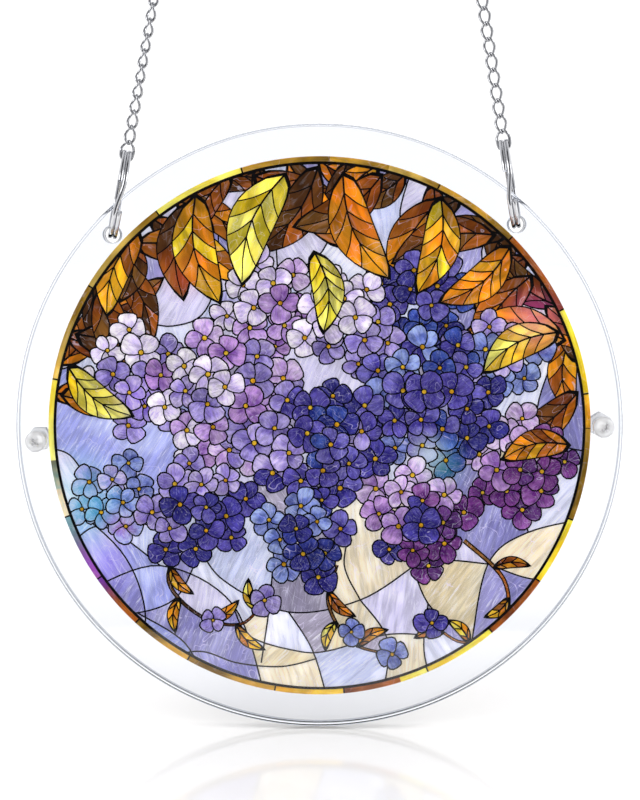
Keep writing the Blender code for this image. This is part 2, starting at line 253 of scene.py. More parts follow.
class NodeTree:
    """The nodes of a material or of the world, added and linked in short calls."""

    def __init__(self, name: str, for_world: bool = False) -> None:
        """Starts a material or a world that holds only its output.

        Args:
            name: Its name.
            for_world: Whether it is a world.
        """
        self.owner = (bpy.data.worlds if for_world else bpy.data.materials).new(name)
        self.owner.use_nodes = True
        self.nodes = self.owner.node_tree.nodes
        self.links = self.owner.node_tree.links
        self.nodes.clear()
        self.output = self.nodes.new("ShaderNodeOutputWorld" if for_world else "ShaderNodeOutputMaterial")

    def add(self, kind: str, **settings: object) -> bpy.types.Node:
        """Adds a node.

        Args:
            kind: The node's type.
            **settings: Its properties.

        Returns:
            The new node.
        """
        node = self.nodes.new(kind)
        for key, value in settings.items():
            setattr(node, key, value)
        return node

    def feed(self, node: bpy.types.Node, socket: str | int, value: object) -> None:
        """Links a socket to another node's output, or sets it where the value is plain.

        Args:
            node: The node to feed.
            socket: The input's name or number.
            value: An output socket, a number or a colour.
        """
        if isinstance(value, Socket):
            self.links.new(value, node.inputs[socket])
        else:
            node.inputs[socket].default_value = value

    def result(
        self, kind: str, values: dict[str | int, object], output: str | int = 0, **settings: object
    ) -> Socket:
        """Adds a node, feeds it and returns one of its outputs.

        Args:
            kind: The node's type.
            values: What its inputs take, by name or number.
            output: The output's name or number.
            **settings: Its properties.

        Returns:
            The output.
        """
        node = self.add(kind, **settings)
        for socket, value in values.items():
            self.feed(node, socket, value)
        return node.outputs[output]

    def math(self, operation: str, *values: object, clamp: bool = False) -> Socket:
        """Adds a Math node on the given values and returns its output."""
        return self.result("ShaderNodeMath", dict(enumerate(values)), operation=operation, use_clamp=clamp)

    def vector(self, operation: str, *values: object, output: str = "Vector") -> Socket:
        """Adds a Vector Math node on the given values and returns its output."""
        return self.result("ShaderNodeVectorMath", dict(enumerate(values)), output, operation=operation)

    def split(self, vector: Socket) -> bpy.types.Node:
        """Adds a node that takes a vector apart into X, Y and Z."""
        node = self.add("ShaderNodeSeparateXYZ")
        self.feed(node, 0, vector)
        return node

    def ramp(self, value: Socket, low: float, high: float, start: float, end: float) -> Socket:
        """Maps a value smoothly from one range to another.

        Args:
            value: The value to map.
            low: Where the first range starts.
            high: Where it ends.
            start: The result at low.
            end: The result at high.

        Returns:
            The mapped value.
        """
        values = {"Value": value, "From Min": low, "From Max": high, "To Min": start, "To Max": end}
        return self.result("ShaderNodeMapRange", values, interpolation_type="SMOOTHSTEP")

    def noise(self, vector: Socket, scale: float, detail: float = 2.0, distortion: float = 0.0) -> Socket:
        """Adds a noise texture.

        Args:
            vector: The coordinates that it reads.
            scale: Its scale.
            detail: Its octaves.
            distortion: How far it is swirled.

        Returns:
            Its value, from 0 to 1.
        """
        values = {"Vector": vector, "Scale": scale, "Detail": detail, "Distortion": distortion}
        return self.result("ShaderNodeTexNoise", values, "Fac")

    def blend(self, factor: object, first: object, second: object, mode: str = "MIX") -> Socket:
        """Mixes two colours.

        Args:
            factor: How much of the second.
            first: The first colour.
            second: The second colour.
            mode: The blend mode.

        Returns:
            The mixed colour.
        """
        values = {0: factor, 6: first, 7: second}
        return self.result("ShaderNodeMix", values, 2, data_type="RGBA", blend_type=mode)

    def mix(self, factor: object, first: Socket, second: Socket) -> Socket:
        """Mixes two shaders, by how much there is of the second."""
        return self.result("ShaderNodeMixShader", {0: factor, 1: first, 2: second})

    def bump(self, height: Socket, strength: float, distance: float) -> Socket:
        """Turns a height into a normal.

        Args:
            height: The height.
            strength: How strongly it shows.
            distance: How tall a height of one is, in metres.

        Returns:
            The bent normal.
        """
        values = {"Height": height, "Strength": strength, "Distance": distance}
        return self.result("ShaderNodeBump", values, "Normal")

    def coordinates(self) -> Socket:
        """The piece's Object coordinates, in metres."""
        return self.add("ShaderNodeTexCoord").outputs["Object"]

    def principled(self, **values: object) -> Socket:
        """Adds the main shader.

        Args:
            **values: Its inputs, with underscores for spaces.

        Returns:
            Its output.
        """
        inputs = {key.replace("_", " "): value for key, value in values.items()}
        return self.result("ShaderNodeBsdfPrincipled", inputs)

    def finish(self, surface: Socket) -> Material | bpy.types.World:
        """Links the surface to the output and returns the material or the world."""
        self.links.new(surface, self.output.inputs["Surface"])
        return self.owner


@dataclass(frozen=True)
class ClearPlastic:
    """Clear plastic that light passes through, with a moulding's or a cast sheet's faint waves."""

    name: str
    tint: str
    roughness: float
    ior: float
    wave_scale: float
    wave_height: float
    clarity: float = 1.0

    def material(self) -> Material:
        """Makes the material."""
        tree = NodeTree(self.name)
        waves = tree.noise(tree.coordinates(), self.wave_scale)
        surface = tree.principled(
            Base_Color=paint(self.tint),
            Roughness=self.roughness,
            IOR=self.ior,
            Transmission_Weight=self.clarity,
            Normal=tree.bump(waves, 1.0, self.wave_height),
        )
        return tree.finish(surface)


@dataclass(frozen=True)
class PolishedPlate:
    """Bright plated steel with the fine marks of tumbling and handling."""

    name: str
    colour: str
    roughness: float
    roughness_spread: float
    mark_scale: float
    mark_height: float

    def material(self) -> Material:
        """Makes the material."""
        tree = NodeTree(self.name)
        marks = tree.noise(tree.coordinates(), self.mark_scale, detail=4.0)
        low = self.roughness - self.roughness_spread
        high = self.roughness + self.roughness_spread
        surface = tree.principled(
            Base_Color=paint(self.colour),
            Metallic=1.0,
            Roughness=tree.ramp(marks, 0.3, 0.7, low, high),
            Normal=tree.bump(marks, 0.4, self.mark_height),
        )
        return tree.finish(surface)


@dataclass(frozen=True)
class Glint:
    """A painted soft spot of rainbow highlight in the print, standing in for a glint of light: its place
    and radius in millimetres, and its colour.
    """

    x: float
    y: float
    radius: float
    colour: str
    strength: float


@dataclass(frozen=True)
class StainedGlass:
    """Printed coloured glass, lit from behind, with a painted glow from its emission and painted rainbow
    highlights.

    It has a wash from base to tip, streaks along the pane, white wisps and pale threads.
    """

    name: str
    streak_stretch: float
    streak_amount: float
    wisp_amount: float
    tone_spread: float
    thread_amount: float
    glints: tuple[Glint, ...] = ()
    glow: float = 0.5
    seen_through: float = 0.6
    seed_spread: float = 97.0
    cloud_scale: float = 2.2
    streak_scale: float = 2.6
    wisp_scale: float = 5.2
    wisp_colour: str = "f8f7ff"
    thread_scale: float = 135.0
    thread_level: float = 0.55
    thread_break_scale: float = 60.0
    thread_colour: str = "f3ecff"

    def material(self) -> Material:
        """Makes the material. It reads the print's own UV map and attributes."""
        tree = NodeTree(self.name)
        seed = self._seed(tree)
        place = self._pane_coordinates(tree, seed)
        colour = self._wash(tree, place, seed)
        colour = self._streaks(tree, place, colour)
        colour = self._threads(tree, colour)
        # Painted rainbow glints: fixed soft spots of painted highlight over the print's colour.
        for glint in self.glints:
            colour = self._glint(tree, glint, colour)
        # The emission paints a glow into the print's colour; the print is no lamp.
        face = tree.principled(
            Base_Color=colour, Roughness=0.4, Specular_IOR_Level=0.12,
            Emission_Color=colour, Emission_Strength=self.glow,
        )
        through = tree.result("ShaderNodeBsdfTranslucent", {"Color": colour})
        return tree.finish(tree.mix(self.seen_through, face, through))

    @staticmethod
    def _seed(tree: NodeTree) -> Socket:
        """The pane's own number, from 0 to 1."""
        return tree.add("ShaderNodeAttribute", attribute_name="pane_seed").outputs["Fac"]

    def _pane_coordinates(self, tree: NodeTree, seed: Socket) -> Socket:
        """Where a point is in its pane, moved so that no two panes share a pattern."""
        uv = tree.add("ShaderNodeUVMap", uv_map="pane").outputs[0]
        apart = tree.result("ShaderNodeCombineXYZ", {2: tree.math("MULTIPLY", seed, self.seed_spread)})
        return tree.vector("ADD", uv, apart)

    def _wash(self, tree: NodeTree, place: Socket, seed: Socket) -> Socket:
        """The pane's colour, from its base to its tip, lighter or darker than its neighbours."""
        base = tree.add("ShaderNodeAttribute", attribute_name="base_tone").outputs["Color"]
        tip = tree.add("ShaderNodeAttribute", attribute_name="tip_tone").outputs["Color"]
        along = tree.split(tree.add("ShaderNodeUVMap", uv_map="pane").outputs[0])
        cloud = tree.ramp(tree.noise(place, self.cloud_scale), 0.3, 0.7, -0.5, 0.5)
        share = tree.math("ADD", along.outputs[0], cloud, clamp=True)
        wash = tree.blend(share, base, tip)
        level = tree.math("ADD", tree.math("MULTIPLY", seed, 2 * self.tone_spread), 1 - self.tone_spread)
        return tree.blend(1.0, wash, level, "MULTIPLY")

    def _streaks(self, tree: NodeTree, place: Socket, colour: Socket) -> Socket:
        """Streaks along the pane, and white wisps in milky glass."""
        stretched = tree.vector("MULTIPLY", place, (1.0, self.streak_stretch, 1.0))
        grain = tree.noise(stretched, self.streak_scale, detail=3.0, distortion=0.6)
        level = tree.ramp(grain, 0.28, 0.72, 1 - self.streak_amount, 1 + self.streak_amount)
        colour = tree.blend(1.0, colour, level, "MULTIPLY")
        wisps = tree.noise(stretched, self.wisp_scale, detail=4.0, distortion=1.2)
        share = tree.ramp(wisps, 0.5, 0.78, 0.0, self.wisp_amount)
        return tree.blend(share, colour, paint(self.wisp_colour))

    def _threads(self, tree: NodeTree, colour: Socket) -> Socket:
        """Thin pale threads that curl over the whole print."""
        loops = tree.noise(tree.coordinates(), self.thread_scale, detail=1.0, distortion=1.6)
        ridge = tree.math("ABSOLUTE", tree.math("SUBTRACT", loops, self.thread_level))
        line = tree.ramp(ridge, 0.002, 0.0075, self.thread_amount, 0.0)
        breaks = tree.ramp(tree.noise(tree.coordinates(), self.thread_break_scale), 0.36, 0.5, 0.0, 1.0)
        return tree.blend(tree.math("MULTIPLY", line, breaks), colour, paint(self.thread_colour))

    @staticmethod
    def _glint(tree: NodeTree, glint: Glint, colour: Socket) -> Socket:
        """One painted rainbow highlight: a soft spot screened over the colour."""
        uv = tree.add("ShaderNodeUVMap", uv_map="picture").outputs[0]
        away = tree.vector("DISTANCE", uv, (glint.x, glint.y, 0.0), output="Value")
        share = tree.ramp(away, 0.0, glint.radius, glint.strength, 0.0)
        return tree.blend(share, colour, paint(glint.colour), "SCREEN")


@dataclass(frozen=True)
class LeadLine:
    """The black lines between the panes, printed with a slightly uneven ink."""

    name: str
    colour: str
    worn_colour: str

    def material(self) -> Material:
        """Makes the material."""
        tree = NodeTree(self.name)
        ink = tree.noise(tree.coordinates(), 900.0, detail=3.0)
        share = tree.ramp(ink, 0.45, 0.8, 0.0, 1.0)
        colour = tree.blend(share, paint(self.colour), paint(self.worn_colour))
        return tree.finish(tree.principled(Base_Color=colour, Roughness=0.4, Specular_IOR_Level=0.1))


@dataclass(frozen=True)
class PaleFloor:
    """A plain pale floor with a faint sheen.

    It is brighter far behind the discs, so that no horizon shows through them.
    """

    name: str
    colour: str
    roughness: float
    lift: float = 0.35
    lift_starts: float = 0.02
    lift_ends: float = 0.30

    def material(self) -> Material:
        """Makes the material."""
        tree = NodeTree(self.name)
        mottle = tree.noise(tree.coordinates(), 3.0)
        roughness = tree.ramp(mottle, 0.3, 0.7, self.roughness, 1.3 * self.roughness)
        back = tree.split(tree.coordinates()).outputs[1]
        lift = tree.ramp(back, self.lift_starts, self.lift_ends, 0.0, self.lift)
        surface = tree.principled(
            Base_Color=paint(self.colour), Roughness=roughness, Specular_IOR_Level=0.9,
            Emission_Color=paint("ffffff"), Emission_Strength=lift,
        )
        return tree.finish(surface)


@dataclass(frozen=True)
class DiscPose:
    """Where the discs hang: the middle of the stack, and how far its right side is up."""

    centre: Vector
    turn: float

    @classmethod
    def from_frame(cls) -> "DiscPose":
        """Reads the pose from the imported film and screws."""
        left, right, centre = (
            (low + high) / 2 for low, high in map(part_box, ("screw_left", "screw_right", "printed_film"))
        )
        return cls(centre, math.atan2(right.z - left.z, right.x - left.x))

    @property
    def matrix(self) -> Matrix:
        """From the discs' own frame to the part's."""
        return Matrix.Translation(self.centre) @ Matrix.Rotation(-self.turn, 4, "Y")

    def at(self, radius: float, angle: float, depth: float = 0.0) -> Matrix:
        """A place on the disc, with the disc's own directions.

        Args:
            radius: How far from the disc's middle.
            angle: Round from the disc's top, positive towards +X.
            depth: How far behind the middle of the stack.

        Returns:
            The place in the part's frame.
        """
        spot = Vector((radius * math.sin(angle), depth, radius * math.cos(angle)))
        return self.matrix @ Matrix.Translation(spot)


@dataclass(frozen=True)
class FittingHoles:
    """The four through holes of the discs, all on one circle."""

    circle_radius: float = 0.070
    ring_hole_diameter: float = 0.0040
    ring_hole_angle: float = math.radians(45.0)
    screw_hole_diameter: float = 0.0034
    screw_angle: float = math.radians(90.6)


@dataclass
class ClearDiscs:
    """The two clear discs, each polished round its rim and its holes."""

    pose: DiscPose
    holes: FittingHoles
    diameter: float = 0.150
    thickness: float = 0.0025
    stack_gap: float = 0.0007
    rim_round: float = 0.00045
    hole_round: float = 0.00018
    rim_segments: int = 288
    hole_segments: int = 48
    round_segments: int = 4
    finish: ClearPlastic = ClearPlastic("clear_cast_acrylic", "fbfcfe", 0.0, 1.49, 45.0, 0.000002)
    # The edge glass is tinted grey: painted shade on the rim's outer rounding and the ring holes' walls,
    # which are clear acrylic.
    rim_finish: ClearPlastic = ClearPlastic("polished_disc_edge", "9a9fa8", 0.05, 1.49, 400.0, 0.000004)

    def _circle(self, shape: Shape, centre: Vector, diameter: float, segments: int) -> None:
        """Adds one circle of edges."""
        bmesh.ops.create_circle(
            shape, segments=segments, radius=diameter / 2, matrix=Matrix.Translation(centre)
        )

    def _plate(self, name: str, outer_side: int) -> Mesh:
        """One disc in its own frame, lying on its back.

        Args:
            name: The mesh's name.
            outer_side: 1 where its front is the outside of the stack, or -1 for its back.

        Returns:
            The disc's mesh.
        """
        shape = bmesh.new()
        self._circle(shape, Vector(), self.diameter, self.rim_segments)
        for side in Side:
            for diameter, angle in (
                (self.holes.ring_hole_diameter, self.holes.ring_hole_angle),
                (self.holes.screw_hole_diameter, self.holes.screw_angle),
            ):
                angle *= side.value
                centre = Vector((math.sin(angle), math.cos(angle), 0)) * self.holes.circle_radius
                self._circle(shape, centre, diameter, self.hole_segments)
        bmesh.ops.triangle_fill(shape, use_beauty=True, edges=shape.edges[:], normal=(0, 0, 1))
        bmesh.ops.translate(shape, verts=shape.verts, vec=(0, 0, -self.thickness / 2))
        raise_faces(shape, self.thickness)
        self._round_edges(shape)
        wall = self.diameter / 2 - 1.5 * self.rim_round
        for face in shape.faces:
            face.smooth = abs(face.normal.z) < LEVEL_NORMAL
            middle = face.calc_center_median()
            on_rim = middle.xy.length > wall and middle.z * outer_side > self.thickness / 2 - self.rim_round
            in_hole = middle.xy.length < wall and middle.y > self.holes.ring_hole_diameter
            # The rim's outer rounding and the ring holes' walls take the grey-tinted edge glass: painted
            # shade.
            if face.smooth and (on_rim or in_hole):
                face.material_index = 1
        return mesh_from(shape, name)

    def _round_edges(self, shape: Shape) -> None:
        """Rounds the rim and, less, the holes."""
        level = [
            edge for edge in sharp_edges(shape)
            if math.isclose(edge.verts[0].co.z, edge.verts[1].co.z, abs_tol=SAME_HEIGHT)
        ]
        on_rim = self.diameter / 2 - self.rim_round
        rims = [edge for edge in level if edge.verts[0].co.xy.length > on_rim]
        hole_edges = [edge for edge in level if edge.verts[0].co.xy.length <= on_rim]
        for edges, width in ((hole_edges, self.hole_round), (rims, self.rim_round)):
            round_off(shape, edges, width, self.round_segments)

    def build(self) -> None:
        """Makes both discs."""
        material, rim_material = self.finish.material(), self.rim_finish.material()
        depth = (self.stack_gap + self.thickness) / 2
        for name, node, sign in (("front_disc", "front_plate", -1), ("back_disc", "back_plate", 1)):
            mesh = self._plate(name, -sign)
            mesh.transform(self.pose.at(0.0, 0.0, sign * depth) @ FACING_FRONT)
            add_piece(name, mesh, [material, rim_material], node)


@dataclass
class ClearScrew:
    """A clear pan-head screw: a flat head with a round edge and a cross recess, and a threaded shank."""

    pose: DiscPose
    holes: FittingHoles
    side: Side
    diameter: float = 0.0030
    length: float = 0.0100
    end_chamfer: float = 0.0004
    head_diameter: float = 0.0052
    head_height: float = 0.0020
    head_edge_round: float = 0.0009
    recess_length: float = 0.0030
    recess_width: float = 0.0007
    recess_depth: float = 0.0010
    recess_taper: float = 0.55
    thread_pitch: float = 0.0005
    thread_depth: float = 0.00016
    plain_shank: float = 0.0012
    segments: int = 40
    rows_per_pitch: int = 6
    finish: ClearPlastic = ClearPlastic("clear_moulded_screw", "f3f3f4", 0.16, 1.45, 900.0, 0.000006, 0.64)

    def _profile(self) -> list[Vector]:
        """Down the outside of the screw, from the middle of its head to the middle of its end."""
        head = self.head_diameter / 2
        flat = head - self.head_edge_round
        edge = self.head_height - self.head_edge_round
        points = [Vector((0, 0, self.head_height))]
        for step in range(7):
            angle = step / 6 * math.pi / 2
            out, up = self.head_edge_round * math.sin(angle), self.head_edge_round * math.cos(angle)
            points.append(Vector((flat + out, 0, edge + up)))
        shank = self.diameter / 2
        points += [Vector((head, 0, 0.0001)), Vector((head - 0.0001, 0, 0)), Vector((shank, 0, 0))]
        rows = round(self.length / self.thread_pitch * self.rows_per_pitch)
        for row in range(1, rows):
            depth = row / rows * (self.length - self.end_chamfer)
            points.append(Vector((shank, 0, -depth)))
        points.append(Vector((shank - self.end_chamfer, 0, -self.length)))
        points.append(Vector((0, 0, -self.length)))
        return points

    def _thread(self, shape: Shape) -> None:
        """Cuts the thread: the shank's surface dips once for each pitch, a little later round it."""
        start = -self.plain_shank
        end = self.end_chamfer - self.length
        for vert in shape.verts:
            if not end <= vert.co.z <= start:
                continue
            around = math.atan2(vert.co.y, vert.co.x) / (2 * math.pi)
            wave = (vert.co.z / self.thread_pitch + around) % 1.0
            dip = self.thread_depth * (1 - abs(2 * wave - 1))
            runout = ease(min(start - vert.co.z, vert.co.z - end) / self.thread_pitch)
            vert.co.xy *= 1 - dip * runout / vert.co.xy.length

    def _recess(self) -> Mesh:
        """The cross that the driver fits, narrower at its bottom."""
        shape = bmesh.new()
        size = (self.recess_length, self.recess_width, 2 * self.recess_depth)
        for turn in (math.pi / 4, 3 * math.pi / 4):
            made = bmesh.ops.create_cube(shape, size=1)
            bmesh.ops.scale(shape, verts=made["verts"], vec=size)
            low = [vert for vert in made["verts"] if vert.co.z < 0]
            bmesh.ops.scale(shape, verts=low, vec=(self.recess_taper, 0.8, 1))
            bmesh.ops.rotate(shape, verts=made["verts"], matrix=Matrix.Rotation(turn, 3, "Z"))
        bmesh.ops.translate(shape, verts=shape.verts, vec=(0, 0, self.head_height))
        return mesh_from(shape, "recess")

    def build(self) -> None:
        """Makes the screw in its hole."""
        name = f"screw_{self.side.place}"
        shape = bmesh.new()
        points = [shape.verts.new(point) for point in self._profile()]
        for first, second in zip(points, points[1:]):
            shape.edges.new((first, second))
        revolve(shape, (0, 0, 1), self.segments)
        bmesh.ops.remove_doubles(shape, verts=shape.verts, dist=1e-7)
        self._thread(shape)
        face_outwards(shape)
        mesh = smooth_mesh(carve(mesh_from(shape, name), self._recess()))
        angle = self.side.value * self.holes.screw_angle
        depth = -STACK_THICKNESS / 2 - FIT_GAP
        mesh.transform(self.pose.at(self.holes.circle_radius, angle, depth) @ FACING_FRONT)
        add_piece(f"clear_screw_{self.side.place}", mesh, [self.finish.material()], name)


@dataclass
class ClearNut:
    """A clear hex nut behind the discs, chamfered like a turned one."""

    pose: DiscPose
    holes: FittingHoles
    side: Side
    turn: float
    across_flats: float = 0.0055
    height: float = 0.0024
    edge_round: float = 0.00022
    edge_segments: int = 3
    bore_segments: int = 32
    finish: ClearPlastic = ClearPlastic("clear_moulded_nut", "f3f3f4", 0.14, 1.45, 700.0, 0.000006, 0.78)

    def build(self) -> None:
        """Makes the nut on its screw."""
        name = f"nut_{self.side.place}"
        shape = bmesh.new()
        across_corners = self.across_flats / math.cos(math.pi / 6)
        bmesh.ops.create_circle(shape, segments=6, radius=across_corners / 2)
        bore = self.holes.screw_hole_diameter / 2
        bmesh.ops.create_circle(shape, segments=self.bore_segments, radius=bore)
        bmesh.ops.triangle_fill(shape, use_beauty=True, edges=shape.edges[:], normal=(0, 0, 1))
        raise_faces(shape, -self.height)
        round_off(shape, sharp_edges(shape), self.edge_round, self.edge_segments)
        mesh = smooth_mesh(mesh_from(shape, name))
        angle = self.side.value * self.holes.screw_angle
        depth = STACK_THICKNESS / 2 + FIT_GAP
        place = self.pose.at(self.holes.circle_radius, angle, depth) @ Matrix.Rotation(self.turn, 4, "Y")
        mesh.transform(place @ FACING_FRONT)
        add_piece(f"clear_nut_{self.side.place}", mesh, [self.finish.material()], name)


@dataclass(frozen=True)
class HangingSizes:
    """The sizes of the rings and the chain, and where each strand runs."""

    pose: DiscPose
    holes: FittingHoles
    ring_diameter: float = 0.022
    ring_wall: float = 0.0017
    ring_coil: float = 0.00108
    coil_gap: float = 0.00005
    ring_swing: float = math.radians(8.0)
    wire: float = 0.00065
    link_width: float = 0.0031
    link_pitch: float = 0.00372
    link_neck: float = 0.00005
    end_link_clearance: float = 0.00012
    top_ring_bore: float = 0.0100
    top_ring_wire: float = 0.0010
    strand_spread: float = 0.0036

    @property
    def ring_width(self) -> float:
        """Both coils of a split ring, side by side."""
        return 2 * self.ring_coil + self.coil_gap

    @property
    def ring_bore_radius(self) -> float:
        """The inside radius of a split ring."""
        return self.ring_diameter / 2 - self.ring_wall

    @property
    def ring_reach(self) -> float:
        """From a hole's centre to the centre of the split ring that bears on the hole's upper wall."""
        off_middle = STACK_THICKNESS / 2 * math.tan(self.ring_swing)
        half_width = self.ring_width / 2 / math.cos(self.ring_swing) + off_middle
        hole_radius = self.holes.ring_hole_diameter / 2
        wall_height = math.sqrt(hole_radius**2 - half_width**2)
        out = STACK_THICKNESS / 2 / math.cos(self.ring_swing)
        return wall_height - FIT_GAP + math.sqrt(self.ring_bore_radius**2 - out**2)

    @property
    def chain_start(self) -> float:
        """From a hole's centre to the inside of the first link."""
        return self.ring_reach + self.ring_bore_radius - FIT_GAP

    @property
    def end_link_width(self) -> float:
        """The first link straddles both coils."""
        return self.ring_width + 2 * (self.wire + self.end_link_clearance)

    def anchor(self, side: Side) -> Vector:
        """Where a strand bears on the hanging ring's bore."""
        radius = self.top_ring_bore / 2
        drop = math.sqrt(radius**2 - (self.strand_spread / 2) ** 2)
        return Vector((side.value * self.strand_spread / 2, 0, -radius - drop))

    def strand(self, side: Side) -> Matrix:
        """The frame of a strand: a ring hole's centre, with Z along the chain.

        Args:
            side: Which strand.

        Returns:
            The strand's frame in the part's.
        """
        angle = side.value * self.holes.ring_hole_angle
        hole = self.pose.at(self.holes.circle_radius, angle).translation
        line = self.anchor(side) - hole
        return Matrix.Translation(hole) @ Matrix.Rotation(math.atan2(line.x, line.z), 4, "Y")


@dataclass
class SplitRing:
    """A split ring: flat wire in two coils, with a smooth sideways step at the front."""

    sizes: HangingSizes
    side: Side
    step_top: float = math.radians(18.0)
    step_bottom: float = math.radians(-24.0)
    wire_round: float = 0.00042
    wire_segments: int = 3
    turn_step: float = math.radians(4.0)
    finish: PolishedPlate = PolishedPlate("polished_ring_steel", "d3d4d7", 0.08, 0.03, 700.0, 0.000006)

    def _section(self, shape: Shape) -> bmesh.types.BMFace:
        """The wire's rounded section, at the lower end of the step."""
        radius = self.sizes.ring_bore_radius + self.sizes.ring_wall / 2
        place = Matrix.Rotation(-self.step_bottom, 4, "X") @ Matrix.Translation((0, -radius, 0))
        size = Matrix.Diagonal((self.sizes.ring_coil, self.sizes.ring_wall, 1, 1))
        bmesh.ops.create_grid(shape, x_segments=1, y_segments=1, size=0.5, matrix=place @ size)
        round_off(shape, shape.verts[:], self.wire_round, self.wire_segments, "VERTICES")
        return shape.faces[:][0]

    def build(self) -> None:
        """Winds the ring and hangs it in its hole."""
        shape = bmesh.new()
        end = self._section(shape)
        offset = (self.sizes.ring_coil + self.sizes.coil_gap) / 2
        step = self.step_top - self.step_bottom
        coil = 2 * math.pi - step
        count = math.ceil((2 * coil + step) / self.turn_step)
        bmesh.ops.translate(shape, verts=shape.verts, vec=(offset, 0, 0))
        turned = Matrix.Rotation((2 * coil + step) / count, 3, "X")
        shift = 0.0
        for number in range(1, count + 1):
            spent = end
            made = bmesh.ops.extrude_face_region(shape, geom=[spent])
            verts = [item for item in made["geom"] if isinstance(item, bmesh.types.BMVert)]
            end = next(item for item in made["geom"] if isinstance(item, bmesh.types.BMFace))
            if number > 1:
                bmesh.ops.delete(shape, geom=[spent], context="FACES_ONLY")
            bmesh.ops.rotate(shape, verts=verts, cent=(0, 0, 0), matrix=turned)
            share = ((2 * coil + step) * number / count - coil) / step
            reached = -2 * offset * ease(share)
            bmesh.ops.translate(shape, verts=verts, vec=(reached - shift, 0, 0))
            shift = reached
        face_outwards(shape)
        mesh = smooth_mesh(mesh_from(shape, "ring"))
        swing = Matrix.Rotation(-self.side.value * self.sizes.ring_swing, 4, "Z")
        reach = Matrix.Translation((0, 0, self.sizes.ring_reach))
        mesh.transform(self.sizes.strand(self.side) @ reach @ swing)
        node = f"split_ring_{self.side.place}"
        add_piece(f"key_ring_{self.side.place}", mesh, [self.finish.material()], node)


@dataclass
class CurbChain:
    """One strand of twisted curb chain: round-wire links, each turned a quarter from end to end."""

    sizes: HangingSizes
    side: Side
    links: int
    turn_starts: int
    turn_ends: int
    link_twist: float = math.radians(-90.0)
    strand_turn: float = math.radians(-45.0)
    round_wire: float = 0.0008
    corners: int = 22
    wire_sides: int = 7
    end_squareness: float = 0.3
    finish: PolishedPlate = PolishedPlate("polished_chain_steel", "c3c4c7", 0.09, 0.04, 1500.0, 0.000008)

    def _round_link(self) -> Mesh:
        """A plain round link, which each place in the strand shapes further."""
        shape = bmesh.new()
        place = Matrix.Translation((self.sizes.link_width, 0, 0)) @ FACING_FRONT
        bmesh.ops.create_circle(shape, segments=self.wire_sides, radius=self.round_wire / 2, matrix=place)
        revolve(shape, (0, 0, 1), self.corners)
        face_outwards(shape)
        return mesh_from(shape, "round_link")

    def _turn_at(self, joint: int) -> float:
        """How far the strand has turned about its own line at a joint."""
        share = (joint - self.turn_starts) / (self.turn_ends - self.turn_starts)
        return self.strand_turn * min(1.0, max(0.0, share))

    def _shape_link(self, verts: list[bmesh.types.BMVert], number: int) -> None:
        """Stretches, twists and lifts one link to its place.

        Args:
            verts: The round link's vertices.
            number: The link's place in the strand, from 0 at the split ring.
        """
        end_link = number == 0
        inside = (self.sizes.link_pitch + self.sizes.link_neck) / 2
        width = self.sizes.end_link_width if end_link else self.sizes.link_width
        half_width = (width - self.sizes.wire) / 2
        half_length = inside + self.sizes.wire / 2
        ring_turn = -self.side.value * self.sizes.ring_swing
        low = ring_turn if end_link else self._turn_at(number) - self.link_twist / 2
        high = self._turn_at(number + 1) + self.link_twist / 2
        base = self.sizes.chain_start + number * self.sizes.link_pitch
        for vert in verts:
            corner = math.atan2(vert.co.y, vert.co.x)
            outward = vert.co.xy.length - self.sizes.link_width
            spread = math.cos(corner)
            along = (half_length + outward) * math.sin(corner)
            share = (along + inside) / (2 * inside)
            if end_link:
                share = max(0.0, 2 * share - 1)
                if along < 0:
                    spread = math.copysign(abs(spread) ** self.end_squareness, spread)
            across = (half_width + outward) * spread
            spot = Vector((across, vert.co.z, along))
            twisted = Matrix.Rotation(low + (high - low) * share, 3, "Z") @ spot
            vert.co = twisted + Vector((0, 0, base + inside))

    def build(self) -> None:
        """Makes the strand from the split ring to the hanging ring."""
        link = self._round_link()
        shape = bmesh.new()
        for number in range(self.links):
            known = len(shape.verts)
            shape.from_mesh(link)
            shape.verts.ensure_lookup_table()
            self._shape_link(shape.verts[known:], number)
        face_outwards(shape)
        mesh = mesh_from(shape, "strand")
        mesh.shade_smooth()
        mesh.transform(self.sizes.strand(self.side))
        bpy.data.meshes.remove(link)
        node = f"chain_{self.side.place}"
        add_piece(f"curb_chain_{self.side.place}", mesh, [self.finish.material()], node)


@dataclass
class HangingRing:
    """The plain round-wire ring that both strands hang from."""

    sizes: HangingSizes
    segments: int = 96
    wire_sides: int = 16
    finish: PolishedPlate = PolishedPlate("polished_top_ring", "d3d4d7", 0.08, 0.03, 800.0, 0.000006)

    def build(self) -> None:
        """Makes the ring under the hook."""
        shape = bmesh.new()
        radius = (self.sizes.top_ring_bore + self.sizes.top_ring_wire) / 2
        place = Matrix.Translation((radius, 0, 0))
        wire_radius = self.sizes.top_ring_wire / 2
        bmesh.ops.create_circle(shape, segments=self.wire_sides, radius=wire_radius, matrix=place)
        revolve(shape, (0, 1, 0), self.segments)
        bmesh.ops.translate(shape, verts=shape.verts, vec=(0, 0, -self.sizes.top_ring_bore / 2))
        face_outwards(shape)
        mesh = mesh_from(shape, "top_ring")
        mesh.shade_smooth()
        add_piece("top_ring", mesh, [self.finish.material()], "hanging_ring")


@dataclass(frozen=True)
class Tone:
    """A pane's colour at its base and at its tip, as hexadecimal digits."""

    base: str
    tip: str


def tones_of(*pairs: str) -> tuple[Tone, ...]:
    """The tones of a colour family, each written as its base and its tip."""
    return tuple(Tone(*pair.split()) for pair in pairs)


class Glass(Enum):
    """The kinds of pane in the print. The number is the material's index."""

    LEAD = 0
    PETAL = 1
    LEAF = 2
    OPAL = 3
    BORDER = 4
    EYE = 5


